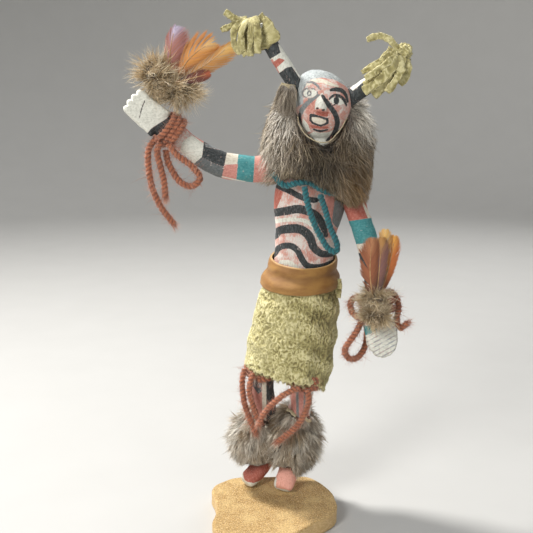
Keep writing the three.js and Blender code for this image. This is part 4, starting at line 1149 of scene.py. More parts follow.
def leather():
    """Soft tan belt leather: fine pores, painted shade in the dent round it, lighter cut edges and broad
    lighter and darker patches.
    """
    s = Shade("belt_leather", 0.62)
    pores = s.cells(2.1)
    fine = s.noise(3.2, 4, 0.6)
    broad = s.noise(0.1, 3, stretch=(1, 1, 2.2))
    s.set(Sheen_Weight=0.1, Base_Color=s.over(
        "8b602d", (broad, 0.35, 0.68, "a2773b"), (fine, 0.5, 0.75, 0, 0.4, "ad8350"),
        (s.field("crease"), 0.0, 1.0, 0, 0.4, "6f4a28"), (s.field("edge"), 0.3, 1.0, 0, 0.7, "c8a672")))
    s.set(Normal=s.bump(fine, 0.15, 0.5, s.bump(pores, 0.1, 0.35)))
    return s.material


def belt_edge(drop, bulge, half_turn):
    """Rows of drop, wall, crease and edge round a cut edge of the belt."""
    return [(drop + bulge * math.cos(a), 0.75 + 0.75 * math.sin(a), 0, 1 - 0.6 * max(0, math.sin(a)))
            for a in half_turn]


rows = belt_edge(0.5, -0.5, np.linspace(-np.pi / 2, np.pi / 2, 7))
for drop in np.linspace(0.6, 16.4, 34):
    dent = math.exp(-((drop - 7.4) / 2.6) ** 2)
    rows.append((drop, 1.5 - 0.9 * dent + 0.7 * math.exp(-((drop - 12.6) / 2.6) ** 2), dent,
                 max(0, 1 - drop / 0.9, 1 - (BELT_HEIGHT - drop) / 0.9)))
rows += belt_edge(16.5, 0.5, np.linspace(np.pi / 2, -np.pi / 2, 7))
rows += [(drop, 0.0, 0, 0) for drop in np.linspace(16, 1, 6)]
points, faces = band_form(belt_place, [row[:2] for row in rows], BELT_COLUMNS)
# crease paints shade into the dent round the belt; edge makes its cut edges lighter.
crease, edge = np.repeat([row[2:] for row in rows], BELT_COLUMNS, axis=0).T
points = points + unit(points - points.mean(axis=0)) * (0.12 * wobble(points, 8, 31))[:, None]
broken = 0.5 + 0.5 * wobble(points, 22, 32)
belt = mesh_object("belt_band", points, faces, leather(), {
    "crease": crease * np.clip(broken + 0.3, 0, 1), "edge": edge})
dress(belt, "belt", slot="belt_leather")

KILT_LENGTH, KILT_INSET, KILT_COLUMNS = 64.0, 2.4, 360
KILT_HAIRS, HEM_HAIRS = 6500, 1500
SCRAP_SIDES, SCRAP_ROWS = 20, 44


def kilt_place(angle, fall, wall):
    """One ring of the kilt; fall goes from 0 at the belt to 1 at the hem."""
    middle, across, deep, tilt = belt_at(11.5)
    right, back = np.cos(angle), np.sin(angle)
    loose = 6.4 * min(1, 0.28 + fall) * min(1, 4 * fall)
    fold = 0.7 * fall * np.cos(5 * angle + 1) + 0.35 * fall * np.sin(11 * angle + 2)
    across = across - KILT_INSET + loose + fold + wall + (
        2.6 * np.clip(right, 0, 1) ** 3 * min(1, 5 * fall) * (1 - 1.5 * fall))
    deep = deep - KILT_INSET + 0.8 * loose + fold + wall
    corner = np.exp(-((((angle + np.pi) % (2 * np.pi) - np.pi + 0.5) / 0.32) ** 2))
    ragged = 0.45 * (np.sin(23 * angle) + np.sin(41 * angle + 1) + np.sin(67 * angle + 2))
    drop = (KILT_LENGTH - 4.5 + 5.5 * right - 1.4 * back + 3.5 * corner) * fall + ragged * fall ** 6
    shift = drop / KILT_LENGTH
    return np.stack([middle[0] + (6.9 - middle[0]) * shift + right * across,
                     middle[1] + (11.6 - middle[1]) * shift + back * deep,
                     middle[2] - drop + tilt * back * deep * (1 - fall)], axis=1) + STAND


def suede_material(name, dark, middle, light):
    """Rough split suede: its tufts lighter on their crests over a darker ground between them, a painted
    highlight and painted shade.
    """
    s = Shade(name, 0.95)
    nap = s.noise(2.2, 4, 0.7)
    broad = s.noise(0.07, 3, 0.5)
    # tuft lays painted shade between the tufts and a painted highlight on their crests.
    tuft = s.math("ADD", s.field("tuft"), s.math("MULTIPLY", nap, 0.5))
    s.set(Sheen_Weight=0.2, Sheen_Roughness=0.5, Base_Color=s.over(
        dark, (tuft, 0.2, 0.75, middle), (tuft, 0.7, 1.25, light), (broad, 0.42, 0.66, 0, 0.3, light),
        (s.field("cut"), 0.3, 0.9, 0, 0.6, light)))
    s.set(Normal=s.bump(nap, 0.5, 0.8))
    return s.material


SUEDE = suede_material("suede", "867c50", "aca26b", "ddd4a2")
SUEDE_NAP = hair_material("suede_nap", "857b4f", "b8ad76", "dcd3a2", "e6dfbb", 0.65)


def tufted(points, seed, wave=3.3):
    """Height of curling tufts, about 0 in the dark between them and 1 on their crests."""
    swirl = shaken(points, 1.5, 6.5, seed, 2)
    ridge = 1 - np.abs(wobble(swirl, wave, seed + 3, 1)) * 1.8
    other = 1 - np.abs(wobble(swirl[:, ::-1] * [1, 1, 1.5], wave * 1.2, seed + 4, 1)) * 1.8
    return np.clip(np.maximum(ridge, other * 0.9), 0, 1) + 0.16 * wobble(points, 1.5, seed + 5, 2)


def suede_nap(name, points, normals, count, low, high):
    """Short fibres that stand off the suede."""
    pick = rng.choice(len(points), count)
    n = normals[pick]
    way = unit(n * 0.7 + rng.normal(0, 0.6, n.shape) - Z * 0.25)
    nap = strands(name, points[pick] - n * 0.1, way, n, rng.uniform(low, high, count), 0.24, SUEDE_NAP,
                  segments=2, curl=0.3)
    return dress(nap, slot="suede")


rows = [(0.0, 0.9, 0)] + [(fall, 1.8, fall > 0.975) for fall in np.linspace(0.01, 0.985, 118)]
rows += [(0.996, 1.5, 1), (1.0, 0.9, 1), (0.996, 0.3, 1)]
rows += [(fall, 0.0, 0) for fall in np.linspace(0.98, 0.01, 6)]
points, faces = band_form(kilt_place, [row[:2] for row in rows], KILT_COLUMNS)
cut, face_of = np.repeat([(float(is_cut), float(wall > 1)) for _, wall, is_cut in rows],
                         KILT_COLUMNS, axis=0).T
away = unit((points - np.array([11.5, 11.6, 0])) * [1, 1, 0])
tuft = tufted(points, 41)
folds = (np.sin(points @ [0.1, 0.1, 0.36] + 1.4 * wobble(points, 40, 46, 1))
         * np.clip((points[:, 0] - 4) / 18, 0, 1))
points = points + away * (0.5 * wobble(points, 15, 47) + 0.7 * folds
                          + face_of * (0.85 * tuft - 0.5))[:, None]
# Painted light and shade: the suede is lighter on its fold ridges and darker in the folds and towards its
# right side.
tuft = tuft + 0.28 * folds - 0.18 * np.clip((points[:, 0] - 16) / 14, 0, 1)
parts, cuts, tufts = [(points, faces)], [cut], [tuft]
TAIL = [[5.6, 30.6, 98, 4.4, 0.9], [4.8, 30.6, 90, 3.6, 0.85], [4.2, 30.2, 82, 2.2, 0.8],
        [3.0, 29.4, 70, 0.7, 0.6]]
CORNER = np.column_stack([on_drawing([(337, 297), (338.6, 287), (339.6, 279.6)], [8, 7, 6]) - STAND,
                          [[2.2, 0.8], [1.8, 0.8], [1.0, 0.6]]])
for k, stations in enumerate((TAIL, CORNER)):  # between the legs, and proud of the belt
    scrap, scrap_faces = closed_tube(limb(stations, X, SCRAP_SIDES, SCRAP_ROWS, 4) + STAND)
    high = tufted(scrap, 48 + k)
    scrap = scrap + unit(scrap - scrap.mean(axis=0)) * (0.5 * high)[:, None]
    parts.append((scrap, scrap_faces))
    cuts.append(np.zeros(len(scrap)))
    tufts.append(high)
cut = np.concatenate(cuts)
kilt = mesh_object("kilt_wrap", *joined(parts), SUEDE, {"cut": cut, "tuft": np.concatenate(tufts)})
dress(kilt, "kilt", slot="suede")
points, n = points_of(kilt), normals_of(kilt)
outer = np.where((n[:, :2] * (points[:, :2] - [11.5, 11.6])).sum(axis=1) > 0)[0]
nap = suede_nap("kilt_nap", points[outer], n[outer], KILT_HAIRS, 0.5, 1.8)
hem = rng.choice(outer[cut[outer] > 0.5], HEM_HAIRS)
way = unit(rng.normal(0, 0.35, (HEM_HAIRS, 3)) - Z)
fringe = strands("kilt_fringe", points[hem], way, n[hem], rng.uniform(0.6, 2.5, HEM_HAIRS), 0.5,
                 SUEDE_NAP, segments=3, curl=0.25)
dress(fringe, slot="suede")


# ---- Horn tassels of suede strips ----
STRIP_SIDES, STRIP_ROWS, TASSEL_HAIRS = 20, 58, 4500


def knot_bulge(down, around):
    """How the knot of a tassel swells between its strips."""
    return 1 + 0.12 * np.sin(5 * around + 4 * down) + 0.07 * np.sin(11 * around - 6 * down)


def tassel(name, node, knot, radii, strips, pale):
    """Strips of suede that fan out of a knot. A strip's line is in drawing marks with a depth."""
    parts, tuft = [], []
    for seed, (line, width, hint) in enumerate(strips, 61):
        line = np.array(line, float)
        half = width / 2 * np.linspace(1.0, 0.94, len(line))
        stations = np.column_stack([on_drawing(line[:, :2], line[:, 2]), half, np.full(len(line), 0.6)])
        rings = limb(stations, hint, STRIP_SIDES, STRIP_ROWS, 4.5)
        middle = rings.mean(axis=1, keepdims=True)
        phase = np.random.default_rng(seed).uniform(0, 6)
        ragged = 1 + 0.1 * np.sin(np.linspace(0, 14, STRIP_ROWS) + phase)[:, None, None]
        ragged[-1] *= 0.7
        offset = (rings - middle) * ragged
        run = np.linspace(0, 0.32 * length_of(middle[:, 0]), STRIP_ROWS)[:, None, None]
        laid = (offset + run * [0.3, 0.9, 0.3]).reshape(-1, 3) + 40 * seed
        relief = tufted(laid, 54, 2.4).reshape(STRIP_ROWS, STRIP_SIDES, 1)
        parts.append(closed_tube(middle + offset + unit(offset) * (0.55 * relief - 0.25)))
        # The wide strips behind are painted darker, as shade between the strips in front.
        relief = relief.ravel() - (0.4 if width > 8.5 else 0.0)
        tuft.append(np.concatenate([relief, [0.5, 0.5]]))
    parts.append(closed_tube(ball_rings(32, 44, knot_bulge) * np.array(radii) + np.array(knot) + STAND))
    tuft.append(tufted(parts[-1][0], 54, 2.4))
    points, faces = joined(parts)
    points = shaken(points, 0.22, 5, 51, 2)
    obj = mesh_object(name, points, faces, SUEDE, {
        "tuft": np.concatenate(tuft) + pale, "cut": np.zeros(len(points))})
    dress(obj, node, slot="suede")
    nap = suede_nap(name + "_nap", points, normals_of(obj), TASSEL_HAIRS, 0.4, 1.4)


FACING = [1, 0, 0.2]
tassel("right_tassel_strips", "right_horn_tassel", [-14.2, -8, 284.6], [5.4, 4.94, 3.8], [
    ([(247, 19, -9), (237, 20, -10), (231, 16, -10.5), (224.5, 11.5, -10.5)], 3.2, [0.5, 0, 1]),
    ([(247, 21, -10), (236, 23, -12), (228, 27, -12.5), (221.5, 30.5, -12.5)], 2.7, [0.4, 0, 1]),
    ([(246, 19, -10), (237, 26, -13), (233.5, 38, -14.5), (236, 47, -14.5), (241, 54, -14)], 3.3, FACING),
    ([(249, 19, -11), (242.5, 28, -15), (240.8, 40, -16), (243, 50, -15.6), (246, 55.5, -15)], 3.4, FACING),
    ([(252, 18, -11), (250.8, 28, -15.6), (250.4, 44, -16.4), (250.6, 56, -15.4)], 2.9, FACING),
    ([(254, 17, -11), (257, 27, -15.4), (257.8, 40, -16), (256.8, 53.5, -15)], 4.4, FACING),
    ([(252, 20, -8), (251, 34, -12), (250, 51, -12)], 9, X),
    ([(257, 18, -9), (268, 29, -12), (275, 42.5, -12.5)], 8, [0.8, 0, 0.6]),
    ([(258, 22, -8), (264, 35, -11.6), (265, 49, -12)], 6.4, X),
    ([(252, 20, -5), (254, 34, 0.4), (256, 51, 0.4)], 11, X)], -0.15)
tassel("left_tassel_strips", "left_horn_tassel", [68.6, -9, 271.4], [4.4, 4.56, 4], [
    ([(397, 53, -11), (394.6, 45, -11.4), (388, 38.6, -11.6), (378, 36, -11.8), (367, 39.8, -11.8)], 3.3,
     [0.3, 0, 1]),
    ([(396, 52, -11), (385, 58, -13), (374, 65, -13), (362, 72.6, -12)], 3.2, [0.5, 0, -0.85]),
    ([(398, 54, -13), (389, 61.6, -16.4), (377, 71, -16.8), (365, 78.6, -16)], 3.4, [0.6, 0, -0.8]),
    ([(399, 55, -12), (390, 64.6, -14), (378, 76, -14), (363.5, 84.6, -13)], 3.6, [0.6, 0, -0.8]),
    ([(400, 56, -13), (392, 68, -16.6), (378, 82, -17), (363.5, 91.5, -16)], 5, [0.6, 0, -0.8]),
    ([(402, 57, -12), (395, 70, -13.8), (386, 84, -14), (373.5, 96, -13.4)], 5.4, [0.75, 0, -0.66]),
    ([(403, 57, -12), (401, 70, -16), (395, 82, -16.2), (386.6, 92, -15.4)], 4.2, [0.8, 0, -0.6]),
    ([(404, 55, -11), (407, 66, -12), (405.4, 76, -12), (399, 84, -12)], 4.4, [1, 0, -0.2]),
    ([(400, 53, -8), (391, 68, -8), (379, 84, -7)], 15, [0.7, 0, -0.7])], 0.05)


# ---- Yarn that is wound on, and the strand across the chest ----
def lay_yarn(name, node, path, yarn):
    """A yarn that lies against the doll, with its fuzz."""
    yarn_along(name, node, path, yarn)
    dress(yarn_fuzz(name + "_fuzz", path, yarn.fuzz, *yarn.wound_fuzz), slot=yarn.slot)


def wound(name, node, centre, axis, inner, laps=2.25):
    """Rust yarn wound round a limb, with inner as the limb's radius."""
    axis = unit(np.array(axis, float))
    side = unit(np.cross(axis, Y))
    front = np.cross(axis, side)
    t = np.linspace(0, 1, int(laps * 120))
    a = 2 * np.pi * laps * t + 1.2
    radius = inner + 1.7 + 0.35 * np.sin(a * 0.7)
    path = (np.array(centre) + STAND + (side * np.cos(a)[:, None] + front * np.sin(a)[:, None])
            * radius[:, None] + axis * ((t - 0.5) * 3.4 * laps + 0.7 * np.sin(a * 0.63 + 1))[:, None])
    path[:, 2] = np.maximum(path[:, 2], 12)
    lay_yarn(name, node, path, RUST)


wound("right_wrist_wrap", "right_wrist_yarn", [-59.2, -8.2, 229.6], [-0.73, -0.22, 0.65], 6.9, 2.6)
wound("left_wrist_wrap", "left_wrist_yarn", [58, -13.4, 131], [0.1, -0.4, -0.91], 6.9)
wound("right_knee_wrap", "right_knee_yarn", [-7.4, 11.2, 84.6], [-0.12, -0.08, 1], 7.9)
wound("left_knee_wrap", "left_knee_yarn", [17, 5.7, 79.6], [0.08, 0.05, 1], 7.9)

lay_yarn("neck_strand", "neck_yarn", even(np.array([
    [-2, -10.5, 206], [4.4, -12, 199.6], [11.6, -14, 201], [18, -14.4, 201.4], [24.6, -14.2, 197.6],
    [31, -13, 195.4], [37, -11.4, 196.6], [42, -9, 200.5]]) + STAND, 150), TEAL)


# ---- Fur ----
def fur_material(name, root, middle, tip, gold, pale):
    """Guard hairs: dark at the skin, banded, with light tips, and warm, dark and pale patches."""
    s = Shade(name, 0.5)
    along, tone = s.field("hair_along"), s.field("hair_tone")
    colour = s.over(root, (along, 0.0, 0.3, middle))
    tips = s.math("MULTIPLY", s.between(along, 0.2, 0.85), s.between(tone, 0.25, 0.85))
    colour = s.mix(tips, colour, tip)
    for field, span, tint in (("hair_warm", (0.0, 0.8, 0.4, 0.9), gold),
                              ("hair_pale", (0.0, 0.8, 0.3, 1.0), pale),
                              ("hair_dark", (0.3, 1.0, 0.9, 0.5), root)):
        colour = s.mix(s.math("MULTIPLY", s.field(field), s.between(tone, *span)), colour, tint)
    s.set(Base_Color=colour, Sheen_Weight=0.1)
    return s.material


def pelt_material(name, dark, light):
    """Skin under hair, and cut edges of hide."""
    s = Shade(name, 0.9)
    s.set(Base_Color=s.over(dark, (s.noise(0.9, 4, 0.7), 0.35, 0.7, light)),
          Normal=s.bump(s.noise(1.6, 4, 0.7), 0.8, 0.9))
    return s.material


PELT = pelt_material("fur_pelt", "2f2823", "5e5247")
HIDE = pelt_material("fur_hide_edge", "a89878", "dbcfae")
FUR = fur_material("grey_fur", "15100c", "675843", "b3a284", "8a6532", "f4eee2")
SHAG = fur_material("pale_fur", "3a3128", "8f806c", "d2c6b0", "a3865c", "e2ddd2")


def fur(name, root, normal, flow, length, material, width, shades, seed, room):
    """Hair on a pelt, in small locks that lean the same way. room is above 0 where hair may reach;
    shades are how warm, dark and pale each hair is."""
    segments, clump = 3, 2.4
    lean = drift(root, clump * 2, seed, 2)
    way = unit(flow + lean * 0.6 + rng.normal(0, 0.15, root.shape))
    length = length * (1 + 0.25 * wobble(root, clump * 3, seed + 5, 2))
    tone = np.clip(0.5 + 0.5 * wobble(root, clump * 1.6, seed + 8, 2) + rng.normal(0, 0.3, len(root)), 0, 1)
    bend = -Z * 0.35 + lean * 0.2
    for _ in range(5):
        outside = room(root + (way + bend) * length[:, None]) < 0
        length = np.where(outside, length * 0.8, length)
    loose = np.where(rng.uniform(0, 1, len(root)) < 0.1, -4.0, -0.8)
    keep = (room(root + (way + bend) * length[:, None]) > loose) & (room(root) > -0.8) & (
        room(root + (way + bend * 0.5) * length[:, None] * 0.5) > loose)
    root, normal, way, bend, length, tone = (v[keep] for v in (root, normal, way, bend, length, tone))
    obj = strands(name, root, way, unit(normal + rng.normal(0, 0.35, root.shape)), length, width, material,
                  bend * length[:, None], segments=segments, tone=tone, curl=0.12)
    for field, values in zip(("hair_warm", "hair_dark", "hair_pale"), shades):
        set_field(obj, field, np.repeat(values[keep], 2 * segments + 1))
    return dress(obj, slot="fur")


def rim(name, radius, y, marks):
    """A thin cut edge of hide along marks of the drawing; y is its depth, or depths."""
    rings, _ = yarn_rings(even(on_drawing(marks, y), 12 * len(marks)), 2 * radius, 3, 9.0, 10)
    points, faces = closed_tube(rings)
    dress(mesh_object(name, shaken(points, 0.15, 4, 161), faces, HIDE), slot="fur")


def ruff_at(around, tube, shrink=0.0):
    """Points of the collar's surface; shrink takes it in, in millimetres."""
    right, back = np.cos(around), np.sin(around)
    side = np.abs(right) ** 2
    front = np.maximum(0, -back) ** 2
    thick = 9 + 4 * np.maximum(0, back)
    thick = thick + (15.5 - thick) * side - shrink
    tall = 26 - 14.5 * front
    tall = tall + (27.5 + 1.5 * right - tall) * side - shrink
    out, up = np.cos(tube), np.sin(tube)
    return np.stack([
        23.8 + right * (16.4 + thick * out), 3 + back * (12 + thick * out),
        220.6 + right * (1.6 * back - 2.6) + 8 * back - right * front * 7 + tall * up], axis=-1) + STAND


def ruff_normal(around, tube):
    e = 0.01
    a = ruff_at(around + e, tube) - ruff_at(around - e, tube)
    b = ruff_at(around, tube + e) - ruff_at(around, tube - e)
    return unit(np.cross(a, b))


RUFF_ROWS, RUFF_SIDES = 80, 40
RUFF_HAIRS, CORNER_HAIRS, ANKLET_HAIRS = 18500, 1500, 12500     # in each piece

# Outlines on the drawing: the face that hair keeps off, and how far the collar's hair reaches.
FACE = [(298.2, 83), (297.6, 108), (298.6, 122), (304.4, 133), (312, 138.5), (321.6, 141.4), (328.4, 140.6),
        (335, 134.6), (341.4, 126.4), (346.4, 117), (350, 107), (352, 98), (350, 84), (340, 70), (305, 66)]
COLLAR = [(277, 82), (274, 100), (266, 124), (260, 142), (258, 158), (253, 174), (255, 187), (268, 187),
          (279, 183), (292, 179), (312, 184), (325, 193), (340, 201), (349, 208), (358, 211), (368, 205),
          (372, 190), (374, 160), (381, 134), (377, 114), (370, 98), (358, 95), (340, 100), (300, 80)]
around, tube = np.meshgrid(turns(RUFF_ROWS), turns(RUFF_SIDES), indexing="ij")
points = shaken(ruff_at(around, tube, 3.4).reshape(-1, 3), 0.7, 9, 71)
covers = (inside(drawing(points), FACE) > -0.6) & (points[:, 1] < -5)
points[covers, 1] = -5
dress(mesh_object("ruff_pelt", points, ring_faces(RUFF_ROWS, RUFF_SIDES), PELT), "fur_ruff", slot="fur")
rim("ruff_hide_chin", 0.3, [-15, -17, -19, -21, -22, -21.5, -19, -17, -14], [
    (297.6, 116), (299.4, 124.6), (304.4, 133.4), (312, 139.4), (321.6, 142.4), (328.8, 141.4),
    (335.6, 135.4), (342, 127), (347, 117.6)])


def ruff_room(q):
    """How far hair of the collar may still go, in pixels of the drawing."""
    at = drawing(q)
    return np.where(q[:, 1] < 2, np.minimum(inside(at, COLLAR), -inside(at, FACE)),
                    np.where(q[:, 1] < 16, inside(at, COLLAR), 9.0)) + 0.4


def near(at, centre, spread):
    """1 at a place on the drawing, falling to 0 over the spread."""
    return np.exp(-(((at - centre) / spread) ** 2).sum(axis=1))


for half in (1, 2):
    count = RUFF_HAIRS
    a = rng.uniform(0, 2 * np.pi, count)
    t = rng.uniform(-2.3, 2.3, count)
    root = ruff_at(a, t, rng.uniform(1.6, 3.4, count))
    normal = ruff_normal(a, t)
    radial = np.stack([np.cos(a), np.sin(a), 0 * a], axis=1)
    high = np.clip((root[:, 2] - 240) / 14, 0, 1)[:, None]
    stray = (rng.uniform(0, 1, (count, 1)) < 0.06) * 1.0
    flow = unit(normal * (0.34 + 0.5 * stray) + radial * 0.14 - Z * (1.1 - 0.9 * high) + Y * high * 0.2)
    length = rng.uniform(7, 13.5, count) * (1 - 0.3 * high[:, 0])
    at = drawing(root)
    front = root[:, 1] < 3
    # dark is painted shade: the collar's hair under the chin and beside the face is darkened.
    dark = (1.2 * near(at, (322, 153), (20, 15)) + 0.8 * near(at, (313, 174), (16, 13))
            + 0.6 * near(at, (352, 146), (9, 18)) + 0.6 * near(at, (282, 98), (6, 10))) * front
    warm = 1.1 * near(at, (356, 178), (22, 30)) + 0.5 * near(at, (275, 178), (18, 14))
    # pale is partly the fur's own paler patches and partly a painted sheen, the patch near (289, 110) beside
    # the face.
    pale = (1.6 * near(at, (361, 112), (14, 17)) + near(at, (289, 110), (8, 20))
            + 0.5 * near(at, (270, 150), (12, 26)))
    ripple = 0.4 * wobble(root, 14, 75)
    shades = [np.clip(v + ripple * k, 0, 1) for v, k in ((warm, 1), (dark, 0.6), (pale, 0.6))]
    fur(f"ruff_fur_{half}", root, normal, flow, length, FUR, 0.44, shades, 80, ruff_room)

# The collar's corner that stands up against the right horn.
FLAP = np.column_stack([on_drawing([(288.4, 83.8), (287.6, 88), (287, 95), (287, 101)], -13.4) - STAND,
                        [3.7, 4.4, 5, 4.4], np.full(4, 0.5)])
points, faces = closed_tube(limb(FLAP, X, 24, 18, 4) + STAND)
dress(mesh_object("ruff_corner_hide", shaken(points, 0.3, 5, 84), faces, HIDE), slot="fur")
count = CORNER_HAIRS
root = on_drawing(np.stack([rng.uniform(281, 294.6, count), rng.uniform(85.2, 101, count)], axis=1), -13.9)
shades = [np.full(count, 0.2), np.clip(0.3 + 0.4 * wobble(root, 6, 87), 0, 1), np.full(count, 0.3)]
fur("ruff_fur_corner", root, np.tile(-Y, (count, 1)), np.tile([-0.2, -0.3, -1], (count, 1)),
    rng.uniform(4.5, 9, count), FUR, 0.4, shades, 88, ruff_room)

# Outlines on the drawing of the feet, which the anklets' hair keeps off.
FOOT = {
    "right_anklet": [(238, 470), (246, 463.6), (258, 466), (275, 462), (280, 470), (276, 490), (238, 490)],
    "left_anklet": [(272, 472), (276, 467.4), (291, 467.4), (295, 478), (296, 497), (270, 497)]}
ANKLET, ANKLET_SIDES, ANKLET_ROWS = 17.0, 64, 70


def anklet(name, paler, seed, stations):
    """A fur anklet: a pelt and its hair, kept off the foot."""
    rings = limb(stations, X, ANKLET_SIDES, ANKLET_ROWS)
    middle = rings.mean(axis=1, keepdims=True)
    core = middle + (rings - middle) * 0.76
    points, faces = closed_tube(core + STAND)
    points = shaken(points, 0.8, 8, seed)
    points[:, 2] = np.maximum(points[:, 2], 12.5)
    dress(mesh_object(name + "_pelt", points, faces, PELT), name, slot="fur")
    count = ANKLET_HAIRS
    i, j = rng.integers(0, ANKLET_ROWS - 1, count), rng.integers(0, ANKLET_SIDES, count)
    u, v = rng.uniform(0, 1, (2, count, 1))
    k = (j + 1) % ANKLET_SIDES
    a, b, c, d = rings[i, j], rings[i, k], rings[i + 1, j], rings[i + 1, k]
    root = (a * (1 - v) + b * v) * (1 - u) + (c * (1 - v) + d * v) * u
    centre = middle[i, 0]
    normal = unit(root - centre)
    root = centre + (root - centre) * 0.77 + STAND
    share = (i + u[:, 0]) / (ANKLET_ROWS - 1)
    flow = unit(normal * (1.0 - 0.45 * share[:, None]) - Z * (0.5 + 0.6 * share[:, None])
                + normal * [1, 1, 0] * 0.25)
    length = rng.uniform(4.5, 9, count) * (1 - 0.45 * np.clip(share - 0.35, 0, 1) / 0.65)
    ripple = wobble(root, 12, seed + 9)
    dark = (share - 0.55) * 1.3 + 0.4 * wobble(root, 9, seed + 8)
    shades = [np.clip(v, 0, 1) for v in (0.3 + 0.5 * ripple, dark, 0.35 - 0.5 * ripple + paler)]
    piece = fur(name + "_fur", root, normal, flow, length, SHAG, 0.44, shades, seed + 20,
                lambda q: 0.4 - np.where(q[:, 1] < 30, inside(drawing(q), FOOT[name]), -9))
    q = points_of(piece)
    q[:, 2] = np.maximum(q[:, 2], STAND[2] + 0.4)
    reshape(piece, q)


anklet("right_anklet", 0.45, 120, [
    [-7.4, 14.5, 53, ANKLET * 0.5, ANKLET * 0.52], [-10.4, 18, 46, ANKLET * 0.8, ANKLET * 0.8],
    [-13.6, 23, 35, ANKLET, ANKLET * 0.93], [-12.8, 27, 25, ANKLET * 0.86, ANKLET * 0.8],
    [-9.4, 30.5, 17, ANKLET * 0.48, ANKLET * 0.46]])
anklet("left_anklet", 0, 150, [
    [15.2, 9.5, 57, ANKLET * 0.53, ANKLET * 0.55], [12.6, 11.5, 50, ANKLET * 0.86, ANKLET * 0.82],
    [10.4, 15, 38, ANKLET * 1.14, ANKLET * 0.93], [11.8, 19.6, 27, ANKLET * 1.05, ANKLET * 0.86],
    [14, 25, 16, ANKLET * 0.55, ANKLET * 0.52]])
rim("right_anklet_hide", 1.1, 3, [(287, 409), (291, 411.4), (295.6, 416)])
rim("left_anklet_hide", 1.1, 0, [(304.4, 417), (308, 420.6), (311.2, 420)])


# ---- Feathers and down ----
def feather_material(name, base, middle, tip, streak):
    """Barbs coloured along the feather: downy base, body colour, lighter tip, with fine streaks."""
    s = Shade(name, 0.5)
    along = s.field("vane")
    s.set(Sheen_Weight=0.2, Base_Color=s.over(
        base, (along, 0.05, 0.45, middle), (along, 0.6, 0.95, tip),
        (s.field("hair_tone"), 0.5, 1.0, 0, 0.5, streak)))
    return s.material


QUILL = Shade("feather_shaft", 0.45)
QUILL.set(Base_Color=QUILL.over("a67c50", (QUILL.noise(0.5), 0.4, 0.6, "c49d70")))
QUILL = QUILL.material
SHAFT_ROWS, BARB_SEGMENTS = 60, 4


def feather(node, quill, tip, width, material, bow=0.0, barbs=330, splits=(0.42, 0.71), sweep=(0, 0, 0)):
    """A flat feather: a tapering shaft with slanting barbs on both sides that part at the splits."""
    start, end = np.array(quill, float) + STAND, np.array(tip, float) + STAND
    across = unit(np.cross(end - start, Y))
    t = np.linspace(0, 1, SHAFT_ROWS)
    shaft = start + np.outer(t, end - start) + np.outer(np.sin(np.pi * t), across * bow)
    shaft[:, 1] -= 1.2 * np.sin(np.pi * t * 0.7)
    along, _, _ = frames(shaft)
    thin = (0.42 * (1 - 0.75 * t))[:, None, None]
    a = turns(8)
    side = unit(np.cross(along, Y))
    rings = shaft[:, None] + thin * (side[:, None] * np.cos(a)[None, :, None]
                                     + np.cross(side, along)[:, None] * np.sin(a)[None, :, None])
    points, faces = closed_tube(rings[:-6])  # ends before the barbs do
    dress(mesh_object(node + "_shaft", points, faces, QUILL), slot="feather")
    s = np.tile(np.linspace(0.1, 0.99, barbs), 2)
    hand = np.repeat([-1.0, 1.0], barbs)
    half = np.interp(s, [0, 0.3, 0.65, 0.88, 1], [0.3, 0.85, 1.0, 0.86, 0.42]) * width / 2 * 0.96
    at = s * (SHAFT_ROWS - 1)
    i = np.minimum(at.astype(int), SHAFT_ROWS - 2)
    root = shaft[i] + (shaft[i + 1] - shaft[i]) * (at - i)[:, None]
    way, out = along[i], side[i] * hand[:, None]
    slant = np.radians(np.interp(s, [0, 0.5, 1], [52, 38, 20]))
    for cut in splits:
        slant += np.radians(9) * np.clip(1 - np.abs(s - cut) / 0.05, 0, 1) * np.sign(s - cut) * -hand
    direction = unit(way * np.cos(slant)[:, None] + out * np.sin(slant)[:, None]
                     + rng.normal(0, 0.035, (len(s), 3)))
    high, dome = np.linalg.norm(end - start), width * 0.85
    length = half / np.sin(slant)
    for _ in range(16):  # barbs near the tip are cut back to a rounded end
        out_there = length * np.sin(slant) / (width / 2)
        up_there = np.clip((s * high + length * np.cos(slant) - high + dome) / (dome + 1), 0, None)
        length = np.where(out_there ** 2 + up_there ** 2 > 1, length * 0.88, length)
    length = length * rng.uniform(0.86, 1.04, len(s))
    direction = unit(direction + Y * 0.12)
    droop = (way * (length * 0.22)[:, None] + Y * (length * 0.12)[:, None]
             + np.array(sweep) * length[:, None])
    obj = strands(node + "_vane", root, direction, np.tile(-Y, (len(s), 1)), length, 0.42, material, droop,
                  segments=BARB_SEGMENTS, tone=rng.uniform(0, 1, len(s)), curl=0.02)
    set_field(obj, "vane", np.repeat(s, 2 * BARB_SEGMENTS + 1))
    dress(obj, node, slot="feather")


ORANGE = feather_material("orange_feather", "7a4d33", "c9743a", "e6a850", "a8552f")
AMBER = feather_material("amber_feather", "8a5230", "dc9648", "eabf7c", "b98a74")
LAVENDER = feather_material("lavender_feather", "a3562f", "b87a6a", "cfc2d8", "8d7f99")
RUSSET = feather_material("russet_feather", "5e4234", "9f603f", "b98058", "6c4230")
PURPLE = feather_material("purple_feather", "594740", "8d6258", "bd8a4c", "6b5256")
GOLD = feather_material("gold_feather", "7d5a3d", "c58a48", "ecbd6c", "a8aaa0")
DUSK = feather_material("dusky_feather", "3d3230", "7b4436", "b25e3c", "3f3436")

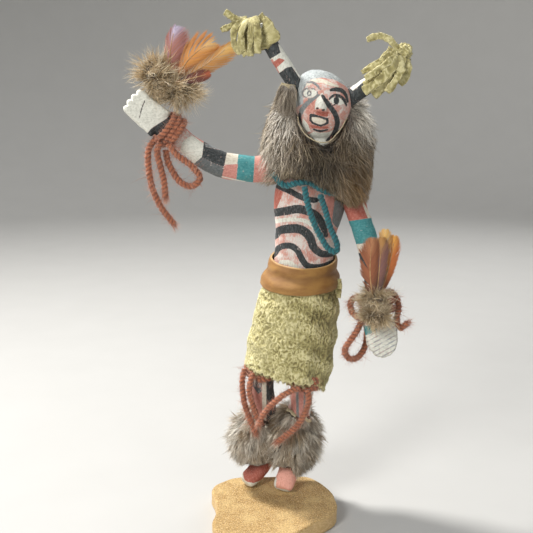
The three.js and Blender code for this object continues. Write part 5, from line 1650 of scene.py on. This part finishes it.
feather("right_feather_upright", [-57.4, -7, 255], [-54.6, -7, 283.8], 15, LAVENDER, 1.6, sweep=(0.4, 0, 0.1))
feather("right_feather_spread", [-54.6, -9, 256], [-35.6, -9, 275.6], 25, AMBER, 2.6, barbs=420,
        splits=(0.3, 0.45, 0.6, 0.75, 0.88), sweep=(0.5, 0, 0.1))
feather("right_feather_long", [-55.8, -11, 254.6], [-24.6, -11, 274.6], 10.4, GOLD, -1.2,
        splits=(0.3, 0.5, 0.7, 0.9), sweep=(0.4, 0, 0))
feather("right_feather_short", [-54, -13, 255], [-36.2, -13, 259.6], 7.4, DUSK)
feather("left_feather_outer", [54, -27.4, 136], [52, -27.4, 172], 12.5, RUSSET, 1.8, splits=(0.26, 0.52))
feather("left_feather_middle", [55.4, -25.6, 137], [57.4, -25.6, 172], 10.5, PURPLE)
feather("left_feather_long", [56.4, -23.8, 138], [59.6, -23.8, 176.2], 10, GOLD)
feather("left_feather_inner", [58, -22, 139], [64.8, -22, 172.4], 10, ORANGE, -0.8)

DOWN = hair_material("down_barbs", "7a6749", "cbb48d", "f6ead0", "a98f68", 0.62)
DOWN_PELT = pelt_material("down_core", "54483b", "8d7d68")


def down(name, node, count, lift, reach, balls):
    """A tuft of down: balls with barbs that curl off them."""
    parts, roots, normals = [], [], []
    for centre, radii in balls:
        v = unit(rng.normal(size=(count, 3)))
        roots.append(np.array(centre) + v * np.array(radii) * 0.62 + STAND)
        normals.append(v)
        parts.append(closed_tube(ball_rings(24, 32) * np.array(radii) * 0.6 + np.array(centre) + STAND))
    points, faces = joined(parts)
    dress(mesh_object(name + "_core", shaken(points, 0.8, 6, 201), faces, DOWN_PELT), node, slot="down")
    root, normal = np.vstack(roots), np.vstack(normals)
    way = unit(normal + np.array(lift) * 0.5 + rng.normal(0, 0.35, root.shape))
    swirl = drift(root, 7, 211, 2)
    way = unit(way + swirl * 1.1)
    length = (rng.gamma(3.6, 1.7, len(root)) * reach).clip(2.0, 12)
    droop = swirl * 2.6 + rng.normal(0, 0.6, root.shape) - Z * 0.4
    tone = np.clip(0.5 + 0.5 * wobble(root, 3.6, 214, 2) + rng.normal(0, 0.25, len(root)), 0, 1)
    facing = unit(normal + rng.normal(0, 0.5, root.shape))
    dress(strands(name + "_barbs", root, way, facing, length, 0.32, DOWN, droop, segments=3, tone=tone,
                  curl=0.2), slot="down")


PUFF = 9.0
down("right_down", "right_hand_down", 1900, [-0.25, 0, 0.6], 1.15, [
    ([-65.4, -9, 258.4], [PUFF * 1.1, PUFF * 0.88, PUFF * 1.25]),
    ([-56, -9, 250.6], [PUFF, PUFF * 0.85, PUFF * 0.85]),
    ([-49, -8.6, 251], [PUFF * 0.7, PUFF * 0.66, PUFF * 0.6])])
down("left_down", "left_hand_down", 2700, [0, 0, 0.3], 0.66, [
    ([54.4, -25, 137.6], [PUFF * 0.95, PUFF * 0.75, PUFF * 0.95]),
    ([55, -26.4, 128.6], [PUFF * 1.05, PUFF * 0.6, PUFF * 0.75])])
